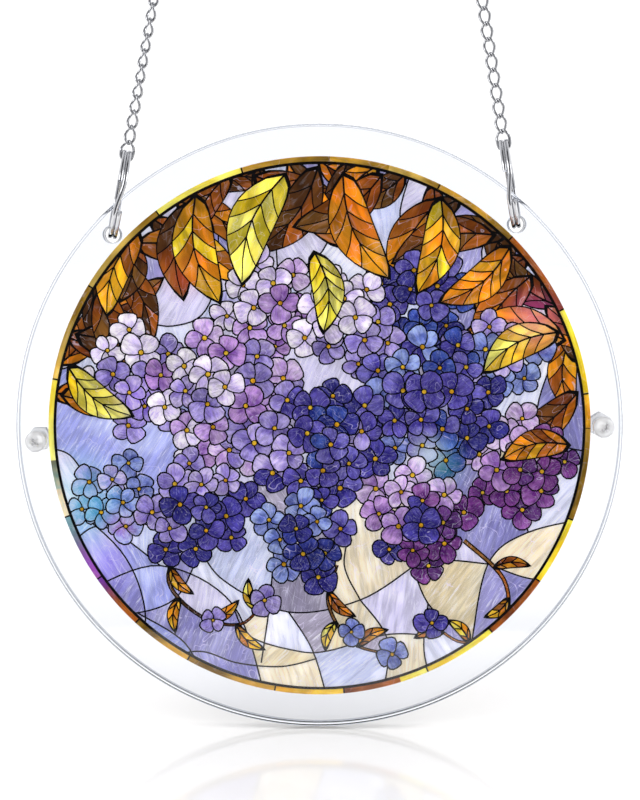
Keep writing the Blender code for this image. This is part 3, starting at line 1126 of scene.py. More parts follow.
VIOLET = tones_of("45399a 7a6cc6", "3a3190 6459bb", "5548ab 9389d4", "2f2a84 5650b0")
DEEP_BLUE = tones_of("23267c 4853b0", "283897 5a74c6", "2c2a80 4c49a8")
LAVENDER = tones_of("8f7cc6 cabde8", "a793d6 ddd0f0", "8271ba beb0e0")
LILAC = tones_of("a981c6 e2c8ee", "c4a2d8 f0e0f5", "9868b8 d4b0e0")
PLUM = tones_of("64267c 9c55aa", "78348e b274be", "52246f 834c9c")
PALE = tones_of("d2c2e8 fbf4fb", "e0d4f0 fffafd")
PERIWINKLE = tones_of("626fba aab6e4", "7384c8 bccaee")
AMBER = tones_of("cf7c14 f2aa22", "dd8f18 f6bc30")
GOLD = tones_of("dba01e f6ce36", "e6b428 f9da4c")
YELLOW = tones_of("e6cc26 f8ee56", "ecdc50 faf590")
BRASS = tones_of("8a6a1c d9b040", "a88428 ecd070")
RUST = tones_of("8a4616 c27326", "9a5418 cf852c")
BROWN = tones_of("57361a 875424", "6a4620 9c6c30")
PEARL = tones_of("d2d6ea f6f6fc", "e0e1ee faf9fc", "d8d4e6 f3f0f8")
LAVENDER_GREY = tones_of("9f9bcb d0cfea", "b0acd6 dcdaf0", "9c99cc c8c6e8")
SOFT_LAVENDER = tones_of("b2b6e2 dfe4f8", "a6abdc ced4f2")
GREY_LILAC = tones_of("aba4ba d3cedb", "b8b1c2 dcd7e2")
CREAM = tones_of("e6dabc f8f2e2", "ece2cc faf7ec")
MAUVE = tones_of("a68fb6 cdbad4", "b8a4c4 dccfe2")


@dataclass(frozen=True)
class PaneFrame:
    """A pane's own frame in the picture: where it starts, which way it runs, and how long it is."""

    x: float
    y: float
    angle: float
    length: float

    def uv(self, x: float, y: float) -> Point:
        """A picture point as shares of the pane's length, along and across it."""
        right, up = x - self.x, y - self.y
        cos, sin = math.cos(self.angle), math.sin(self.angle)
        return ((right * cos + up * sin) / self.length, (up * cos - right * sin) / self.length)


@dataclass(frozen=True)
class Patch:
    """One printed shape: its outline in millimetres, its glass, its tone and its frame."""

    outline: tuple[Point, ...]
    glass: Glass
    tone: Tone
    frame: PaneFrame


NO_FRAME = PaneFrame(0.0, 0.0, 0.0, 10.0)
BLACK = Tone("08070a", "08070a")


def spline(points: list[Point], per_span: int) -> list[Point]:
    """A smooth open line through a few points.

    Args:
        points: The points that it passes.
        per_span: How many steps between two of them.

    Returns:
        The line's points.
    """
    ends = [points[0], *points, points[-1]]
    line = []
    for i in range(len(points) - 1):
        p0, p1, p2, p3 = (Vector(point) for point in ends[i : i + 4])
        for step in range(per_span):
            t = step / per_span
            spot = (
                p1 * 2 + (p2 - p0) * t + (p0 * 2 - p1 * 5 + p2 * 4 - p3) * t * t
                + (p1 * 3 - p0 - p2 * 3 + p3) * t**3
            ) / 2
            line.append((spot.x, spot.y))
    line.append(points[-1])
    return line


def strip(line: list[Point], start_width: float, end_width: float) -> tuple[Point, ...]:
    """The outline of a line drawn with a pen whose width changes evenly.

    Args:
        line: The line's points.
        start_width: The pen's width at its start.
        end_width: The pen's width at its end.

    Returns:
        A closed outline.
    """
    left, right = [], []
    for i, point in enumerate(line):
        before = Vector(line[max(0, i - 1)])
        after = Vector(line[min(len(line) - 1, i + 1)])
        across = (after - before).normalized().orthogonal()
        half = (start_width + (end_width - start_width) * i / (len(line) - 1)) / 2
        spot = Vector(point)
        left.append(tuple(spot + across * half))
        right.append(tuple(spot - across * half))
    return tuple(left + right[::-1])


def anticlockwise(outline: Outline) -> tuple[Point, ...]:
    """The same closed outline, run anticlockwise."""
    doubled = 0.0
    for i, (x, y) in enumerate(outline):
        doubled += outline[i - 1][0] * y - x * outline[i - 1][1]
    return tuple(outline) if doubled > 0 else tuple(reversed(outline))


def rim_point(radius: float, step: float) -> Point:
    """A point of a circle round the picture, in equal steps from its right, anticlockwise."""
    angle = 2 * math.pi * step / RIM_STEPS
    return (radius * math.cos(angle), radius * math.sin(angle))


def turned(points: list[Point], x: float, y: float, angle: float) -> list[Point]:
    """Points turned by an angle and moved to a place."""
    cos, sin = math.cos(angle), math.sin(angle)
    return [(x + px * cos - py * sin, y + px * sin + py * cos) for px, py in points]


@dataclass
class Drawing:
    """The print's shapes in painting order: each covers those before it."""

    radius: float
    lead: float = 0.38
    petal_corners: int = 15
    petal_base_width: float = 0.62
    petal_tip_width: float = 0.5
    petal_wobble: float = 0.045
    eye_size: float = 0.13
    floret_spacing: float = 1.32
    leaf_steps: int = 12
    leaf_fullness: float = 0.86
    leaf_base_power: float = 0.62
    leaf_tip_power: float = 0.78
    dice: random.Random = field(default_factory=lambda: random.Random(20))
    patches: list[Patch] = field(default_factory=list)

    def add(self, outline: Outline, glass: Glass, tone: Tone, place: PaneFrame) -> None:
        """Adds one shape.

        Args:
            outline: Its closed outline.
            glass: The kind of pane.
            tone: Its colours.
            place: Its own frame.
        """
        self.patches.append(Patch(anticlockwise(outline), glass, tone, place))

    def line(self, points: list[Point], start_width: float, end_width: float, per_span: int = 6) -> None:
        """Adds a lead line through a few points."""
        self.add(strip(spline(points, per_span), start_width, end_width), Glass.LEAD, BLACK, NO_FRAME)

    def petal(self, x: float, y: float, angle: float, length: float, width: float, tone: Tone) -> None:
        """Adds one petal that grows from a point.

        Args:
            x: Where it starts.
            y: Where it starts.
            angle: Which way it points.
            length: Its length.
            width: Its width, nearer its tip.
            tone: Its colours.
        """
        wave = self.dice.uniform(0, 2 * math.pi)
        place = PaneFrame(x, y, angle, length)
        half_lead = self.lead / 2
        for inset, glass, colours in ((-half_lead, Glass.LEAD, BLACK), (half_lead, Glass.PETAL, tone)):
            outline = []
            for i in range(self.petal_corners):
                t = 2 * math.pi * i / self.petal_corners
                share = 0.5 - 0.5 * math.cos(t)
                wobble = 1 + self.petal_wobble * math.sin(3 * t + wave)
                along = inset + (length - 2 * inset) * share * wobble
                fullness = self.petal_base_width + self.petal_tip_width * share
                across = -(width / 2 - inset) * math.sin(t) * fullness * wobble
                outline.append((along, across))
            self.add(turned(outline, x, y, angle), glass, colours, place)

    def disc(self, x: float, y: float, radius: float, glass: Glass, tone: Tone, count: int = 10) -> None:
        """Adds a small round pane."""
        place = PaneFrame(x - radius, y - radius, 0.8, 3 * radius)
        half_lead = 0.35 * self.lead
        turns = [2 * math.pi * i / count for i in range(count)]
        outer, inner = radius + half_lead, radius - half_lead
        for reach, kind, colours in ((outer, Glass.LEAD, BLACK), (inner, glass, tone)):
            corners = [(reach * math.cos(turn), reach * math.sin(turn)) for turn in turns]
            self.add(turned(corners, x, y, 0.0), kind, colours, place)

    def floret(self, x: float, y: float, size: float, tones: tuple[Tone, ...]) -> None:
        """Adds a small flower of four or five broad petals and a golden eye.

        Args:
            x: Its middle.
            y: Its middle.
            size: The length of a petal.
            tones: The colours to pick from.
        """
        petals = self.dice.choice((4, 4, 5))
        start = self.dice.uniform(0, 2 * math.pi)
        tone = self.dice.choice(tones)
        for number in range(petals):
            angle = start + 2 * math.pi * number / petals + self.dice.uniform(-0.12, 0.12)
            length = size * self.dice.uniform(0.88, 1.12)
            width = length * (1.15 if petals == 4 else 0.98) * self.dice.uniform(0.9, 1.08)
            if self.dice.random() < 0.3:
                tone = self.dice.choice(tones)
            self.petal(x, y, angle, length, width, tone)
        self.disc(x, y, self.eye_size * size, Glass.EYE, self.dice.choice(GOLD))

    def flower_head(
        self,
        x: float,
        y: float,
        radius: float,
        size: float,
        tones: tuple[Tone, ...],
        light: tuple[Tone, ...],
    ) -> None:
        """Adds a round head of florets, lighter towards its upper left.

        Args:
            x: Its middle.
            y: Its middle.
            radius: Its radius.
            size: The length of a petal.
            tones: The colours of its darker side.
            light: The colours of its lighter side.
        """
        spacing = self.floret_spacing * size
        count = max(3, round((radius / spacing) ** 2 * 3.1))
        spots = []
        for number in range(count):
            out = radius * math.sqrt((number + 0.5) / count)
            angle = number * GOLDEN_ANGLE + x
            spots.append((out, angle))
        for out, angle in sorted(spots, reverse=True):
            fx = x + out * math.cos(angle) + self.dice.uniform(-0.5, 0.5)
            fy = y + out * math.sin(angle) + self.dice.uniform(-0.5, 0.5)
            shade = (fy - y - fx + x) / (2 * radius) + self.dice.uniform(-0.35, 0.35)
            self.floret(fx, fy, size * self.dice.uniform(0.86, 1.1), light if shade > 0.05 else tones)

    def leaf(
        self, x: float, y: float, angle: float, length: float, width: float, tones: tuple[Tone, ...],
        bend: float = 0.12, veins: int = 3,
    ) -> None:
        """Adds a pointed leaf with a midrib and side veins.

        Args:
            x: Where its stalk ends.
            y: Where its stalk ends.
            angle: Which way it points.
            length: Its length.
            width: Its width.
            tones: The colours to pick from.
            bend: How far its midrib bows sideways, as a share of its length.
            veins: How many pairs of side veins.
        """
        side = self.dice.choice((-1, 1))

        def midrib(share: float) -> Vector:
            return Vector((length * share, side * bend * length * math.sin(math.pi * share)))

        def half_width(share: float) -> float:
            ends = share**self.leaf_base_power * (1 - share) ** self.leaf_tip_power
            return self.leaf_fullness * width * ends

        place = PaneFrame(x, y, angle, length)
        tone = self.dice.choice(tones)
        lead = 1.25 * self.lead
        for inset, glass, colours in ((-lead / 2, Glass.LEAD, BLACK), (lead / 2, Glass.LEAF, tone)):
            thin = 1 - 2 * inset / width
            short = 2.2 * inset / length
            upper, lower = [], []
            for i in range(self.leaf_steps + 1):
                share = i / self.leaf_steps
                middle = midrib(short + (1 - 2 * short) * share)
                half = Vector((0, half_width(share) * thin))
                upper.append(tuple(middle + half))
                lower.append(tuple(middle - half))
            self.add(turned(lower + upper[-2:0:-1], x, y, angle), glass, colours, place)
        rib = [tuple(midrib(share)) for share in (0.0, 0.25, 0.5, 0.75, 0.97)]
        self.line(turned(rib, x, y, angle), 1.3 * self.lead, 0.7 * self.lead)
        for number in range(veins):
            share = 0.16 + 0.6 * number / veins
            for hand in (-1, 1):
                reach = share + 0.2
                edge = midrib(reach) + Vector((0, hand * 0.97 * half_width(reach)))
                middle = (midrib(share) + edge) / 2 + Vector((0.02 * length, 0))
                vein = [tuple(midrib(share)), tuple(middle), tuple(edge)]
                self.line(turned(vein, x, y, angle), 0.9 * self.lead, 0.75 * self.lead, per_span=3)

    def arc(self, inner: float, outer: float, start: int, end: int, glass: Glass, tone: Tone) -> None:
        """Adds a piece of a ring round the picture.

        Args:
            inner: Its inner radius.
            outer: Its outer radius.
            start: Its first step round the circle.
            end: Its last step round the circle.
            glass: The kind of pane.
            tone: Its colours.
        """
        rows = [[rim_point(radius, i) for i in range(start, end + 1)] for radius in (outer, inner)]
        middle = rim_point(inner, (start + end) / 2)
        angle = math.atan2(middle[1], middle[0]) + math.pi / 2
        first = rim_point(inner, start)
        length = max(2.0, math.dist(first, rim_point(inner, end)))
        self.add(rows[0] + rows[1][::-1], glass, tone, PaneFrame(first[0], first[1], angle, length))


class FlowerGarland(Drawing):
    """The picture: a garland of golden leaves over round violet flower heads, and milky panes below."""

    border_width = 1.25
    border_line = 0.7
    border_line_step = 24
    shortest_piece = 5
    longest_piece = 17
    leaded_share = 0.75

    def compose(self) -> None:
        """Paints the whole picture, back to front."""
        self._ground()
        self._pane_lines()
        self._vines()
        self._leaves_behind()
        self._heads()
        self._leaves_in_front()
        self._border()

    def _ground(self) -> None:
        """The milky glass behind everything."""
        outline = [rim_point(self.radius, step) for step in range(RIM_STEPS)]
        self.add(outline, Glass.OPAL, PEARL[0], NO_FRAME)

    def _pane_lines(self) -> None:
        """The curved lead lines between the milky panes."""
        for points in (
            [(-68, -14), (-50, -30), (-44, -46), (-47, -58)],
            [(-58, -40), (-40, -34), (-22, -44), (-14, -68)],
            [(-46, -46), (-34, -54), (-29, -66)],
            [(-30, -30), (-24, -38), (-8, -46), (10, -43), (24, -34)],
            [(-8, -46), (-2, -56), (2, -70)],
            [(10, -43), (17, -54), (15, -70)],
            [(22, -30), (27, -44), (38, -54), (43, -62)],
            [(27, -44), (26, -56), (29, -68)],
            [(70, -22), (52, -26), (42, -34), (38, -54)],
            [(66, -36), (54, -38), (42, -34)],
            [(57, -50), (50, -46), (38, -54)],
            [(-70, 14), (-58, 18), (-50, 30), (-54, 46)],
            [(-50, 30), (-36, 26), (-26, 34), (-24, 68)],
            [(-26, 34), (-10, 38), (2, 46), (5, 70)],
            [(70, 16), (58, 18), (46, 28), (40, 44), (48, 54)],
            [(46, 28), (34, 32), (22, 46)],
            [(70, -6), (60, -4), (54, 4), (58, 18)],
            [(-70, -4), (-62, -6), (-56, -16)],
            [(-58, -40), (-50, -44), (-46, -46), (-36, -42), (-30, -30)],
            [(-22, -44), (-18, -52), (-6, -56), (2, -56), (16, -52), (26, -52)],
            [(-50, -54), (-40, -57), (-30, -56), (-21, -59), (-10, -60), (-1, -58)],
            [(-12, -36), (-13, -46), (-15, -59)],
            [(24, -34), (32, -33), (42, -34)],
            [(10, -43), (6, -34), (8, -24)],
            [(52, -26), (50, -16), (58, -8)],
            [(36, -64), (40, -58), (50, -56)],
            [(-62, -28), (-54, -24), (-40, -34)],
            [(-5, 70), (-10, 52), (-10, 38)],
            [(25, 70), (20, 54), (22, 46), (16, 36)],
            [(-52, 58), (-34, 46), (-26, 34)],
        ):
            self.line(points, self.lead, self.lead, per_span=8)

    def _vines(self) -> None:
        """Two curling vines with small leaves and single florets, low in the picture."""
        for stem, florets in (
            ([(-34, -26), (-38, -38), (-30, -47), (-20, -49), (-14, -43)], LAVENDER),
            ([(36, -28), (46, -38), (46, -49), (36, -54), (28, -49)], VIOLET),
            ([(4, -34), (2, -44), (8, -54), (18, -57)], PERIWINKLE),
        ):
            line = spline(stem, 7)
            self.add(strip(line, 1.3, 0.7), Glass.LEAD, BLACK, NO_FRAME)
            self.add(strip(line, 0.6, 0.25), Glass.LEAF, BROWN[1], NO_FRAME)
            for i in range(5, len(line) - 2, 5):
                x, y = line[i]
                heading = math.atan2(line[i + 1][1] - y, line[i + 1][0] - x)
                hand = 1 if i % 2 else -1
                tones = self.dice.choice((YELLOW, GOLD, AMBER))
                self.leaf(x, y, heading + hand * 0.9, self.dice.uniform(7, 9.5), 4.4, tones, veins=2)
            x, y = line[-1]
            self.floret(x, y, 4.2, florets)
            x, y = line[len(line) // 2]
            self.floret(x + 3.0, y - 1.0, 3.4, florets)

    def _leaves_behind(self) -> None:
        """The darker leaves along the top and the sides."""
        for number in range(26):
            degrees = 172 - 6.3 * number
            heading = degrees + 180 + self.dice.uniform(-75, 75)
            x, y = rim_point(66.5, degrees / 360 * RIM_STEPS)
            tones = self.dice.choice((BROWN, RUST, BROWN, AMBER))
            self.leaf(x, y, math.radians(heading), self.dice.uniform(15, 23), 11, tones)
        for degrees, heading, length, width, tones in (
            (158, -30, 27, 15, BROWN),
            (146, -62, 26, 14, RUST),
            (134, -20, 28, 15, AMBER),
            (119, -95, 24, 14, BROWN),
            (104, -40, 27, 15, RUST),
            (90, -130, 27, 15, BROWN),
            (76, -150, 25, 14, RUST),
            (62, -115, 26, 15, AMBER),
            (48, -165, 26, 14, BROWN),
            (36, -120, 26, 14, RUST),
            (20, 176, 25, 14, AMBER),
            (8, -150, 22, 12, RUST),
            (172, 6, 20, 12, AMBER),
        ):
            x, y = rim_point(64.5, degrees / 360 * RIM_STEPS)
            self.leaf(x, y, math.radians(heading), length, width, tones)

    def _heads(self) -> None:
        """The round flower heads, from the back ones to the front ones."""
        for x, y, radius, size, tones, light in (
            (25, 31, 12, 4.7, DEEP_BLUE, VIOLET),
            (-12, 30, 12, 4.6, LILAC, PALE),
            (7, 26, 12, 4.6, LAVENDER, PALE),
            (-46, 12, 13, 4.8, LAVENDER, PALE),
            (-51, -16, 10, 4.4, PERIWINKLE, LAVENDER),
            (49, -8, 13, 4.6, PLUM, LILAC),
            (44, 17, 11, 4.6, PERIWINKLE, LAVENDER),
            (-24, 8, 17, 5.0, LILAC + LAVENDER, PALE + LILAC),
            (27, 7, 17, 5.0, DEEP_BLUE + VIOLET, VIOLET + PERIWINKLE),
            (-31, -20, 13, 4.6, VIOLET, LAVENDER),
            (24, -22, 13, 4.7, PLUM + VIOLET, LILAC),
            (0, -4, 16, 5.0, VIOLET + DEEP_BLUE, VIOLET + LAVENDER),
            (-4, -27, 11, 4.5, DEEP_BLUE + VIOLET, PERIWINKLE),
        ):
            self.flower_head(x, y, radius, size, tones, light)

    def _leaves_in_front(self) -> None:
        """The bright leaves that lie over the flower heads."""
        for x, y, heading, length, width, tones in (
            (-30, 58, -78, 27, 16, GOLD),
            (-8, 63, -112, 29, 17, YELLOW + GOLD),
            (6, 63, -66, 28, 16, AMBER + GOLD),
            (-44, 49, -112, 22, 13, AMBER),
            (30, 57, -104, 24, 14, GOLD),
            (47, 45, -142, 22, 13, AMBER),
            (-1, 44, -84, 20, 12, YELLOW),
            (59, 24, -152, 21, 13, GOLD),
            (-62, 16, -38, 20, 12, GOLD + YELLOW),
            (62, -4, -168, 17, 11, AMBER),
        ):
            self.leaf(x, y, math.radians(heading), length, width, tones, veins=4)

    def _border(self) -> None:
        """A black line and a band of gold and brown glass, cut by thin leads at uneven steps."""
        inner = self.radius - self.border_width
        for start in range(0, RIM_STEPS, self.border_line_step):
            end = start + self.border_line_step
            self.arc(inner - self.border_line, inner, start, end, Glass.LEAD, BLACK)
        start = 0
        while start < RIM_STEPS:
            end = min(RIM_STEPS, start + self.dice.randint(self.shortest_piece, self.longest_piece))
            if RIM_STEPS - end < self.shortest_piece:
                end = RIM_STEPS
            tone = self.dice.choice(GOLD + YELLOW + BRASS + BRASS + RUST[:1])
            self.arc(inner, self.radius, start, end, Glass.BORDER, tone)
            tick = [rim_point(inner, start), rim_point(self.radius - 0.02, start)]
            if self.dice.random() < self.leaded_share:
                self.add(strip(tick, 0.4, 0.4), Glass.LEAD, BLACK, NO_FRAME)
            start = end

    def ground_tone(self, x: float, y: float) -> Tone:
        """The colour of a milky pane by its place: cream comes in only low down, and not at the left.

        Args:
            x: The pane's middle.
            y: The pane's middle.

        Returns:
            Its tone.
        """
        if y > 20:
            tones = PEARL + LAVENDER_GREY
        elif x > 30:
            tones = LAVENDER_GREY + CREAM + PEARL
        elif x > 5:
            tones = GREY_LILAC + MAUVE + PEARL + CREAM
        elif x > -22:
            tones = CREAM + PEARL + GREY_LILAC
        else:
            tones = LAVENDER_GREY + SOFT_LAVENDER + PEARL
        return self.dice.choice(tones)

    def leaf_tone(self, tone: Tone) -> Tone:
        """The colour of one pane of a leaf: the leaf's own, or one a step lighter or darker.

        Args:
            tone: The leaf's own tone.

        Returns:
            The pane's tone.
        """
        steps = BROWN + RUST + AMBER + GOLD + YELLOW
        place = steps.index(tone) + self.dice.choice((-2, -1, 0, 0, 0, 1, 2))
        return steps[min(len(steps) - 1, max(0, place))]


@dataclass
class Region:
    """One visible pane of the finished print: what it is made of, its tone, its frame and its number."""

    glass: Glass
    tone: Tone
    frame: PaneFrame
    seed: float


@dataclass
class StainedGlassPrint:
    """The round translucent print between the discs, cut into its visible panes."""

    pose: DiscPose
    diameter: float = 0.1345
    thickness: float = 0.0003
    upright_turn: float = math.radians(-0.7)
    tiles: int = 7
    weld: float = 1e-6
    join: float = 0.0002
    straight: float = math.radians(1.2)
    index_limit: int = 32000
    # Painted rainbow highlights, fixed in place on the print.
    glints: tuple[Glint, ...] = (
        Glint(-61.0, -18.0, 17.0, "2ccfe0", 0.85),
        Glint(-55.0, -33.0, 12.0, "7040ff", 0.65),
        Glint(-50.0, -24.0, 7.0, "ff58b8", 0.4),
        Glint(-44.0, 8.0, 9.0, "8848ff", 0.6),
        Glint(53.0, 27.0, 10.0, "ff58c0", 0.6),
        Glint(49.0, 23.0, 6.0, "ffd24a", 0.4),
        Glint(27.0, -6.0, 7.0, "f0f8ff", 0.7),
        Glint(30.0, -9.0, 9.0, "48e0d0", 0.35),
        Glint(-33.0, 38.0, 8.0, "ff6040", 0.45),
    )

    def _materials(self) -> list[Material]:
        """The materials in the order of the kinds of glass."""
        # Every kind of glass but the eyes takes the painted rainbow highlights.
        rainbow = self.glints
        finishes = {
            Glass.LEAD: LeadLine("printed_lead", "070608", "1a1216"),
            Glass.PETAL: StainedGlass("petal_glass", 3.2, 0.24, 0.4, 0.14, 0.7, rainbow),
            Glass.LEAF: StainedGlass("leaf_glass", 3.6, 0.34, 0.16, 0.2, 0.6, rainbow, 0.6),
            Glass.OPAL: StainedGlass("milky_glass", 9.0, 0.16, 0.9, 0.07, 0.8, rainbow, 0.72),
            Glass.BORDER: StainedGlass("border_glass", 6.0, 0.2, 0.12, 0.1, 0.25, rainbow, 0.8),
            Glass.EYE: StainedGlass("golden_eye", 1.0, 0.2, 0.0, 0.1, 0.0),
        }
        return [finishes[glass].material() for glass in Glass]

    def _pave_tile(self, shape: Shape, patches: list[Patch], low: Point, high: Point) -> None:
        """Cuts the shapes that reach one tile into triangles, and keeps the ones inside it and the print.

        Args:
            shape: Takes the triangles, each with the number of the patch on top of it.
            patches: All shapes in painting order, the print's own circle first.
            low: The tile's lower left corner.
            high: The tile's upper right corner.
        """
        tile = [low, (high[0], low[1]), high, (low[0], high[1])]
        points = [Vector(corner) for corner in tile]
        polygons, numbers = [[0, 1, 2, 3]], [-1]
        for number, patch in enumerate(patches):
            across, up = zip(*patch.outline)
            if max(across) < low[0] or min(across) > high[0] or max(up) < low[1] or min(up) > high[1]:
                continue
            start = len(points)
            points.extend(Vector(point) for point in patch.outline)
            polygons.append(list(range(start, len(points))))
            numbers.append(number)
        corners, _, faces, _, _, owners = delaunay_2d_cdt(points, [], polygons, 1, self.weld, True)
        owner_of = shape.faces.layers.int["owner"]
        verts = [shape.verts.new((corner.x, corner.y, 0)) for corner in corners]
        for face, owner in zip(faces, owners):
            if 0 in owner and 1 in owner:
                shape.faces.new([verts[i] for i in face])[owner_of] = numbers[max(owner)]
        bmesh.ops.delete(shape, geom=[vert for vert in verts if not vert.link_faces], context="VERTS")

    def _pave(self, drawing: Drawing) -> Shape:
        """Cuts the whole drawing into triangles, tile by tile, and joins the tiles.

        Args:
            drawing: The finished drawing.

        Returns:
            The flat shape, in millimetres.
        """
        shape = bmesh.new()
        shape.faces.layers.int.new("owner")
        shape.faces.layers.int.new("part")
        reach = drawing.radius + 1.0
        step = 2 * reach / self.tiles
        for column in range(self.tiles):
            for row in range(self.tiles):
                low = (-reach + column * step, -reach + row * step)
                self._pave_tile(shape, drawing.patches, low, (low[0] + step, low[1] + step))
        bmesh.ops.remove_doubles(shape, verts=shape.verts, dist=self.join)
        return shape

    @staticmethod
    def _regions(shape: Shape, drawing: FlowerGarland) -> list[Region]:
        """Numbers each connected visible part of a patch, and describes it.

        Args:
            shape: The flat shape, whose faces take the numbers.
            drawing: The finished drawing.

        Returns:
            The parts in the order of their numbers.
        """
        owner_of, part_of = shape.faces.layers.int["owner"], shape.faces.layers.int["part"]
        for face in shape.faces:
            face[part_of] = -1
        regions = []
        for first in shape.faces:
            if first[part_of] >= 0:
                continue
            owner = first[owner_of]
            first[part_of] = len(regions)
            waiting, total = [first], Vector((0.0, 0.0, 0.0))
            while waiting:
                face = waiting.pop()
                middle, area = face.calc_center_median(), face.calc_area()
                total += Vector((middle.x * area, middle.y * area, area))
                for edge in face.edges:
                    for other in edge.link_faces:
                        if other[part_of] < 0 and other[owner_of] == owner:
                            other[part_of] = len(regions)
                            waiting.append(other)
            patch = drawing.patches[owner]
            tone, frame_ = patch.tone, patch.frame
            if patch.glass is Glass.OPAL:
                x, y = total.x / max(total.z, 1e-9), total.y / max(total.z, 1e-9)
                tone = drawing.ground_tone(x, y)
                frame_ = PaneFrame(x, y, drawing.dice.uniform(0.6, 2.2), 22.0)
            elif patch.glass is Glass.LEAF:
                tone = drawing.leaf_tone(tone)
            regions.append(Region(patch.glass, tone, frame_, drawing.dice.random()))
        return regions

    def _sheet(self, shape: Shape) -> Mesh:
        """Joins each pane's triangles where it can, and gives the flat shape its thickness."""
        part_of = shape.faces.layers.int["part"]
        for face in shape.faces:
            face.material_index = face[part_of] % self.index_limit
        bmesh.ops.dissolve_limit(
            shape, angle_limit=self.straight, use_dissolve_boundaries=False,
            verts=shape.verts[:], edges=shape.edges[:], delimit={"MATERIAL"},
        )
        bmesh.ops.translate(shape, verts=shape.verts, vec=(0, 0, -self.thickness / MM / 2))
        raise_faces(shape, self.thickness / MM)
        bmesh.ops.triangulate(shape, faces=shape.faces[:], ngon_method="EAR_CLIP")
        return mesh_from(shape, "print")

    @staticmethod
    def _dress(mesh: Mesh, regions: list[Region]) -> None:
        """Gives each face its material, tones and number, and each corner its place in its pane."""
        part_of = [0] * len(mesh.polygons)
        mesh.attributes["part"].data.foreach_get("value", part_of)
        for name in ("owner", "part"):
            mesh.attributes.remove(mesh.attributes[name])
        bases = [paint(region.tone.base) for region in regions]
        tips = [paint(region.tone.tip) for region in regions]
        for name, kind, key, values in (
            ("base_tone", "FLOAT_COLOR", "color", [level for part in part_of for level in bases[part]]),
            ("tip_tone", "FLOAT_COLOR", "color", [level for part in part_of for level in tips[part]]),
            ("pane_seed", "FLOAT", "value", [regions[part].seed for part in part_of]),
        ):
            mesh.attributes.new(name, kind, "FACE").data.foreach_set(key, values)
        mesh.polygons.foreach_set("material_index", [regions[part].glass.value for part in part_of])
        pane_uv, picture_uv = [], []
        coordinates = [vert.co.xy for vert in mesh.vertices]
        for polygon, part in zip(mesh.polygons, part_of):
            frame_ = regions[part].frame
            for vertex in polygon.vertices:
                x, y = coordinates[vertex]
                pane_uv.extend(frame_.uv(x, y))
                picture_uv.extend((x, y))
        mesh.uv_layers.new(name="picture").data.foreach_set("uv", picture_uv)
        mesh.uv_layers.new(name="pane").data.foreach_set("uv", pane_uv)

    def build(self) -> None:
        """Draws the picture and makes the print of it."""
        drawing = FlowerGarland(self.diameter / 2 / MM)
        drawing.compose()
        LOG.info("drawing: %d shapes", len(drawing.patches))
        shape = self._pave(drawing)
        regions = self._regions(shape, drawing)
        LOG.info("print: %d triangles before joining, %d visible parts", len(shape.faces), len(regions))
        mesh = self._sheet(shape)
        self._dress(mesh, regions)
        upright = Matrix.Rotation(self.pose.turn + self.upright_turn, 4, "Y")
        mesh.transform(self.pose.matrix @ upright @ FACING_FRONT @ Matrix.Scale(MM, 4))
        add_piece("stained_glass_print", mesh, self._materials(), "printed_film")


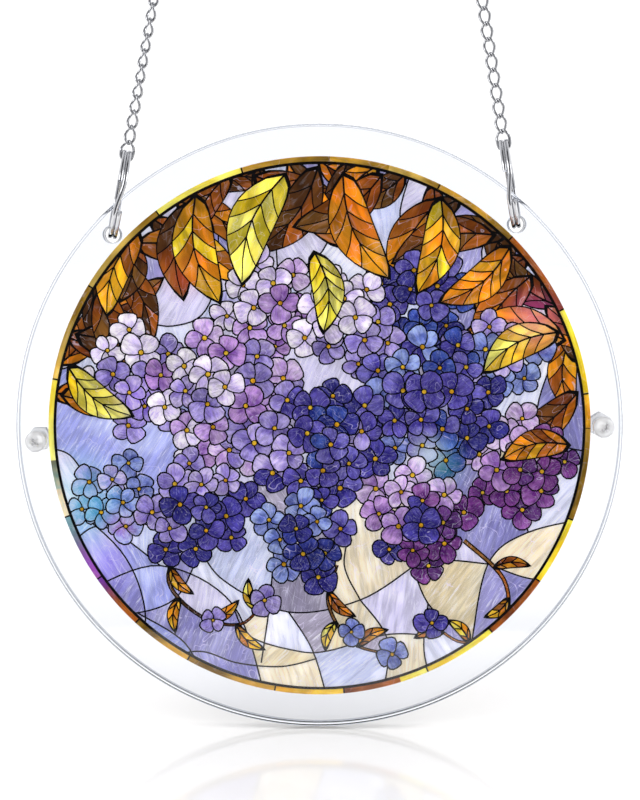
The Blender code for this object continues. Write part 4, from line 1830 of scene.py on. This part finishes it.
@dataclass
class Studio:
    """The plain floor, the soft lights and the camera at the photograph's angle."""

    pose: DiscPose
    floor_gap: float = 0.0008
    floor_size: float = 6.0
    floor_front: float = 0.10
    image_height: float = 800.0
    pixels_per_metre: float = 4050.0
    disc_right: float = -0.5
    disc_up: float = -31.0
    distance: float = 0.390
    elevation: float = math.radians(6.0)
    roll: float = math.radians(0.40)
    sensor_height: float = 24.0
    world_strength: float = 1.24
    behind_counts: float = 0.8
    mirrored_bands: tuple[tuple[float, float, float], ...] = (
        (0.0, 0.02, 0.024),
        (1.0, 0.85, 0.87),
        (0.16, 0.03, 0.0309),
        (0.27, 0.2, 0.206),
        (0.4, 0.85, 0.8755),
        (0.56, 0.22, 0.2266),
        (0.76, 0.95, 0.9785),
    )
    finish: PaleFloor = PaleFloor("pale_floor", "f6f5f4", 0.09)

    def build(self) -> None:
        """Sets up everything around the part."""
        self._floor()
        self._world()
        self._lights()
        self._camera()
        bpy.context.scene.view_settings.view_transform = "Standard"

    def _floor(self) -> None:
        """A wide floor just under the discs. It ends in front of them, so that they mirror no glare."""
        shape = bmesh.new()
        low = CAD_BOX[0][2] - self.floor_gap
        place = Matrix.Translation((0, self.floor_size / 2 - self.floor_front, low))
        bmesh.ops.create_grid(shape, x_segments=1, y_segments=1, size=self.floor_size / 2, matrix=place)
        mesh = mesh_from(shape, "floor")
        mesh.materials.append(self.finish.material())
        floor = put_in_scene("floor", mesh)
        LOG.info("floor at %.4f m", low)

    def _world(self) -> None:
        """An even white room, which mirrors see with dark bands, as a studio's flags would give."""
        tree = NodeTree("white_room", for_world=True)
        direction = tree.split(tree.add("ShaderNodeTexCoord").outputs["Generated"])
        sideways = tree.math("ABSOLUTE", direction.outputs[0])
        behind = tree.math("MAXIMUM", direction.outputs[1], 0.0)
        bands = tree.add("ShaderNodeValToRGB")
        tree.feed(bands, 0, tree.math("MULTIPLY_ADD", behind, self.behind_counts, sideways))
        ends = {0.0: bands.color_ramp.elements[0], 1.0: bands.color_ramp.elements[1]}
        for position, level, blue in self.mirrored_bands:
            element = ends.get(position) or bands.color_ramp.elements.new(position)
            element.color = (level, level, blue, 1.0)
        white = {"Color": (1.0, 1.0, 1.0, 1.0), "Strength": self.world_strength}
        path = tree.add("ShaderNodeLightPath")
        sharp = tree.math("LESS_THAN", path.outputs["Diffuse Depth"], 0.5)
        mirrors = tree.math("GREATER_THAN", path.outputs["Glossy Depth"], 0.5)
        bpy.context.scene.world = tree.finish(
            tree.mix(
                tree.math("MULTIPLY", sharp, mirrors),
                tree.result("ShaderNodeBackground", white),
                tree.result("ShaderNodeBackground", {"Color": bands.outputs[0], "Strength": 1.0}),
            )
        )

    def _lights(self) -> None:
        """Two large soft lights, high at the left and at the right."""
        for name, place, size, power in (
            ("soft_light_left", (-0.9, -0.7, 0.5), 0.7, 4.0),
            ("soft_light_right", (1.0, -0.3, 0.3), 0.5, 2.5),
        ):
            lamp = bpy.data.lights.new(name, "AREA")
            lamp.shape = "SQUARE"
            lamp.size = size
            lamp.energy = power
            light = put_in_scene(name, lamp)
            light.location = place
            aim = self.pose.centre - light.location
            light.rotation_euler = aim.to_track_quat("-Z", "Y").to_euler()

    def _camera(self) -> None:
        """Places the camera so that the disc's front lands where the photograph has it."""
        forward = Vector((0, math.cos(self.elevation), -math.sin(self.elevation)))
        level_up = Vector((0, math.sin(self.elevation), math.cos(self.elevation)))
        level_right = Vector((1, 0, 0))
        up = level_up * math.cos(self.roll) - level_right * math.sin(self.roll)
        right = level_right * math.cos(self.roll) + level_up * math.sin(self.roll)
        target = self.pose.centre - Vector((0, STACK_THICKNESS / 2, 0))
        offset = right * self.disc_right + up * self.disc_up
        place = target - forward * self.distance - offset / self.pixels_per_metre
        view_height = self.image_height / self.pixels_per_metre
        lens = bpy.data.cameras.new("camera")
        lens.sensor_fit = "VERTICAL"
        lens.sensor_height = self.sensor_height
        lens.lens = self.sensor_height * self.distance / view_height
        lens.clip_start = 0.01
        camera = put_in_scene("camera", lens)
        turn = Matrix((right, up, -forward)).transposed().to_4x4()
        camera.matrix_world = Matrix.Translation(place) @ turn
        bpy.context.scene.camera = camera


def main() -> None:
    """Builds the suncatcher's sub-assemblies in order, then the studio."""
    logging.basicConfig(level=logging.INFO, format="%(name)s %(message)s")
    pose = DiscPose.from_frame()
    holes = FittingHoles()
    sizes = HangingSizes(pose, holes)
    ClearDiscs(pose, holes).build()
    StainedGlassPrint(pose).build()
    for side, nut_turn in ((Side.LEFT, math.radians(30.0)), (Side.RIGHT, 0.0)):
        ClearScrew(pose, holes, side).build()
        ClearNut(pose, holes, side, nut_turn).build()
        SplitRing(sizes, side).build()
    CurbChain(sizes, Side.LEFT, links=69, turn_starts=0, turn_ends=5).build()
    CurbChain(sizes, Side.RIGHT, links=68, turn_starts=12, turn_ends=40).build()
    HangingRing(sizes).build()
    Studio(pose).build()


if __name__ == "__main__":
    main()
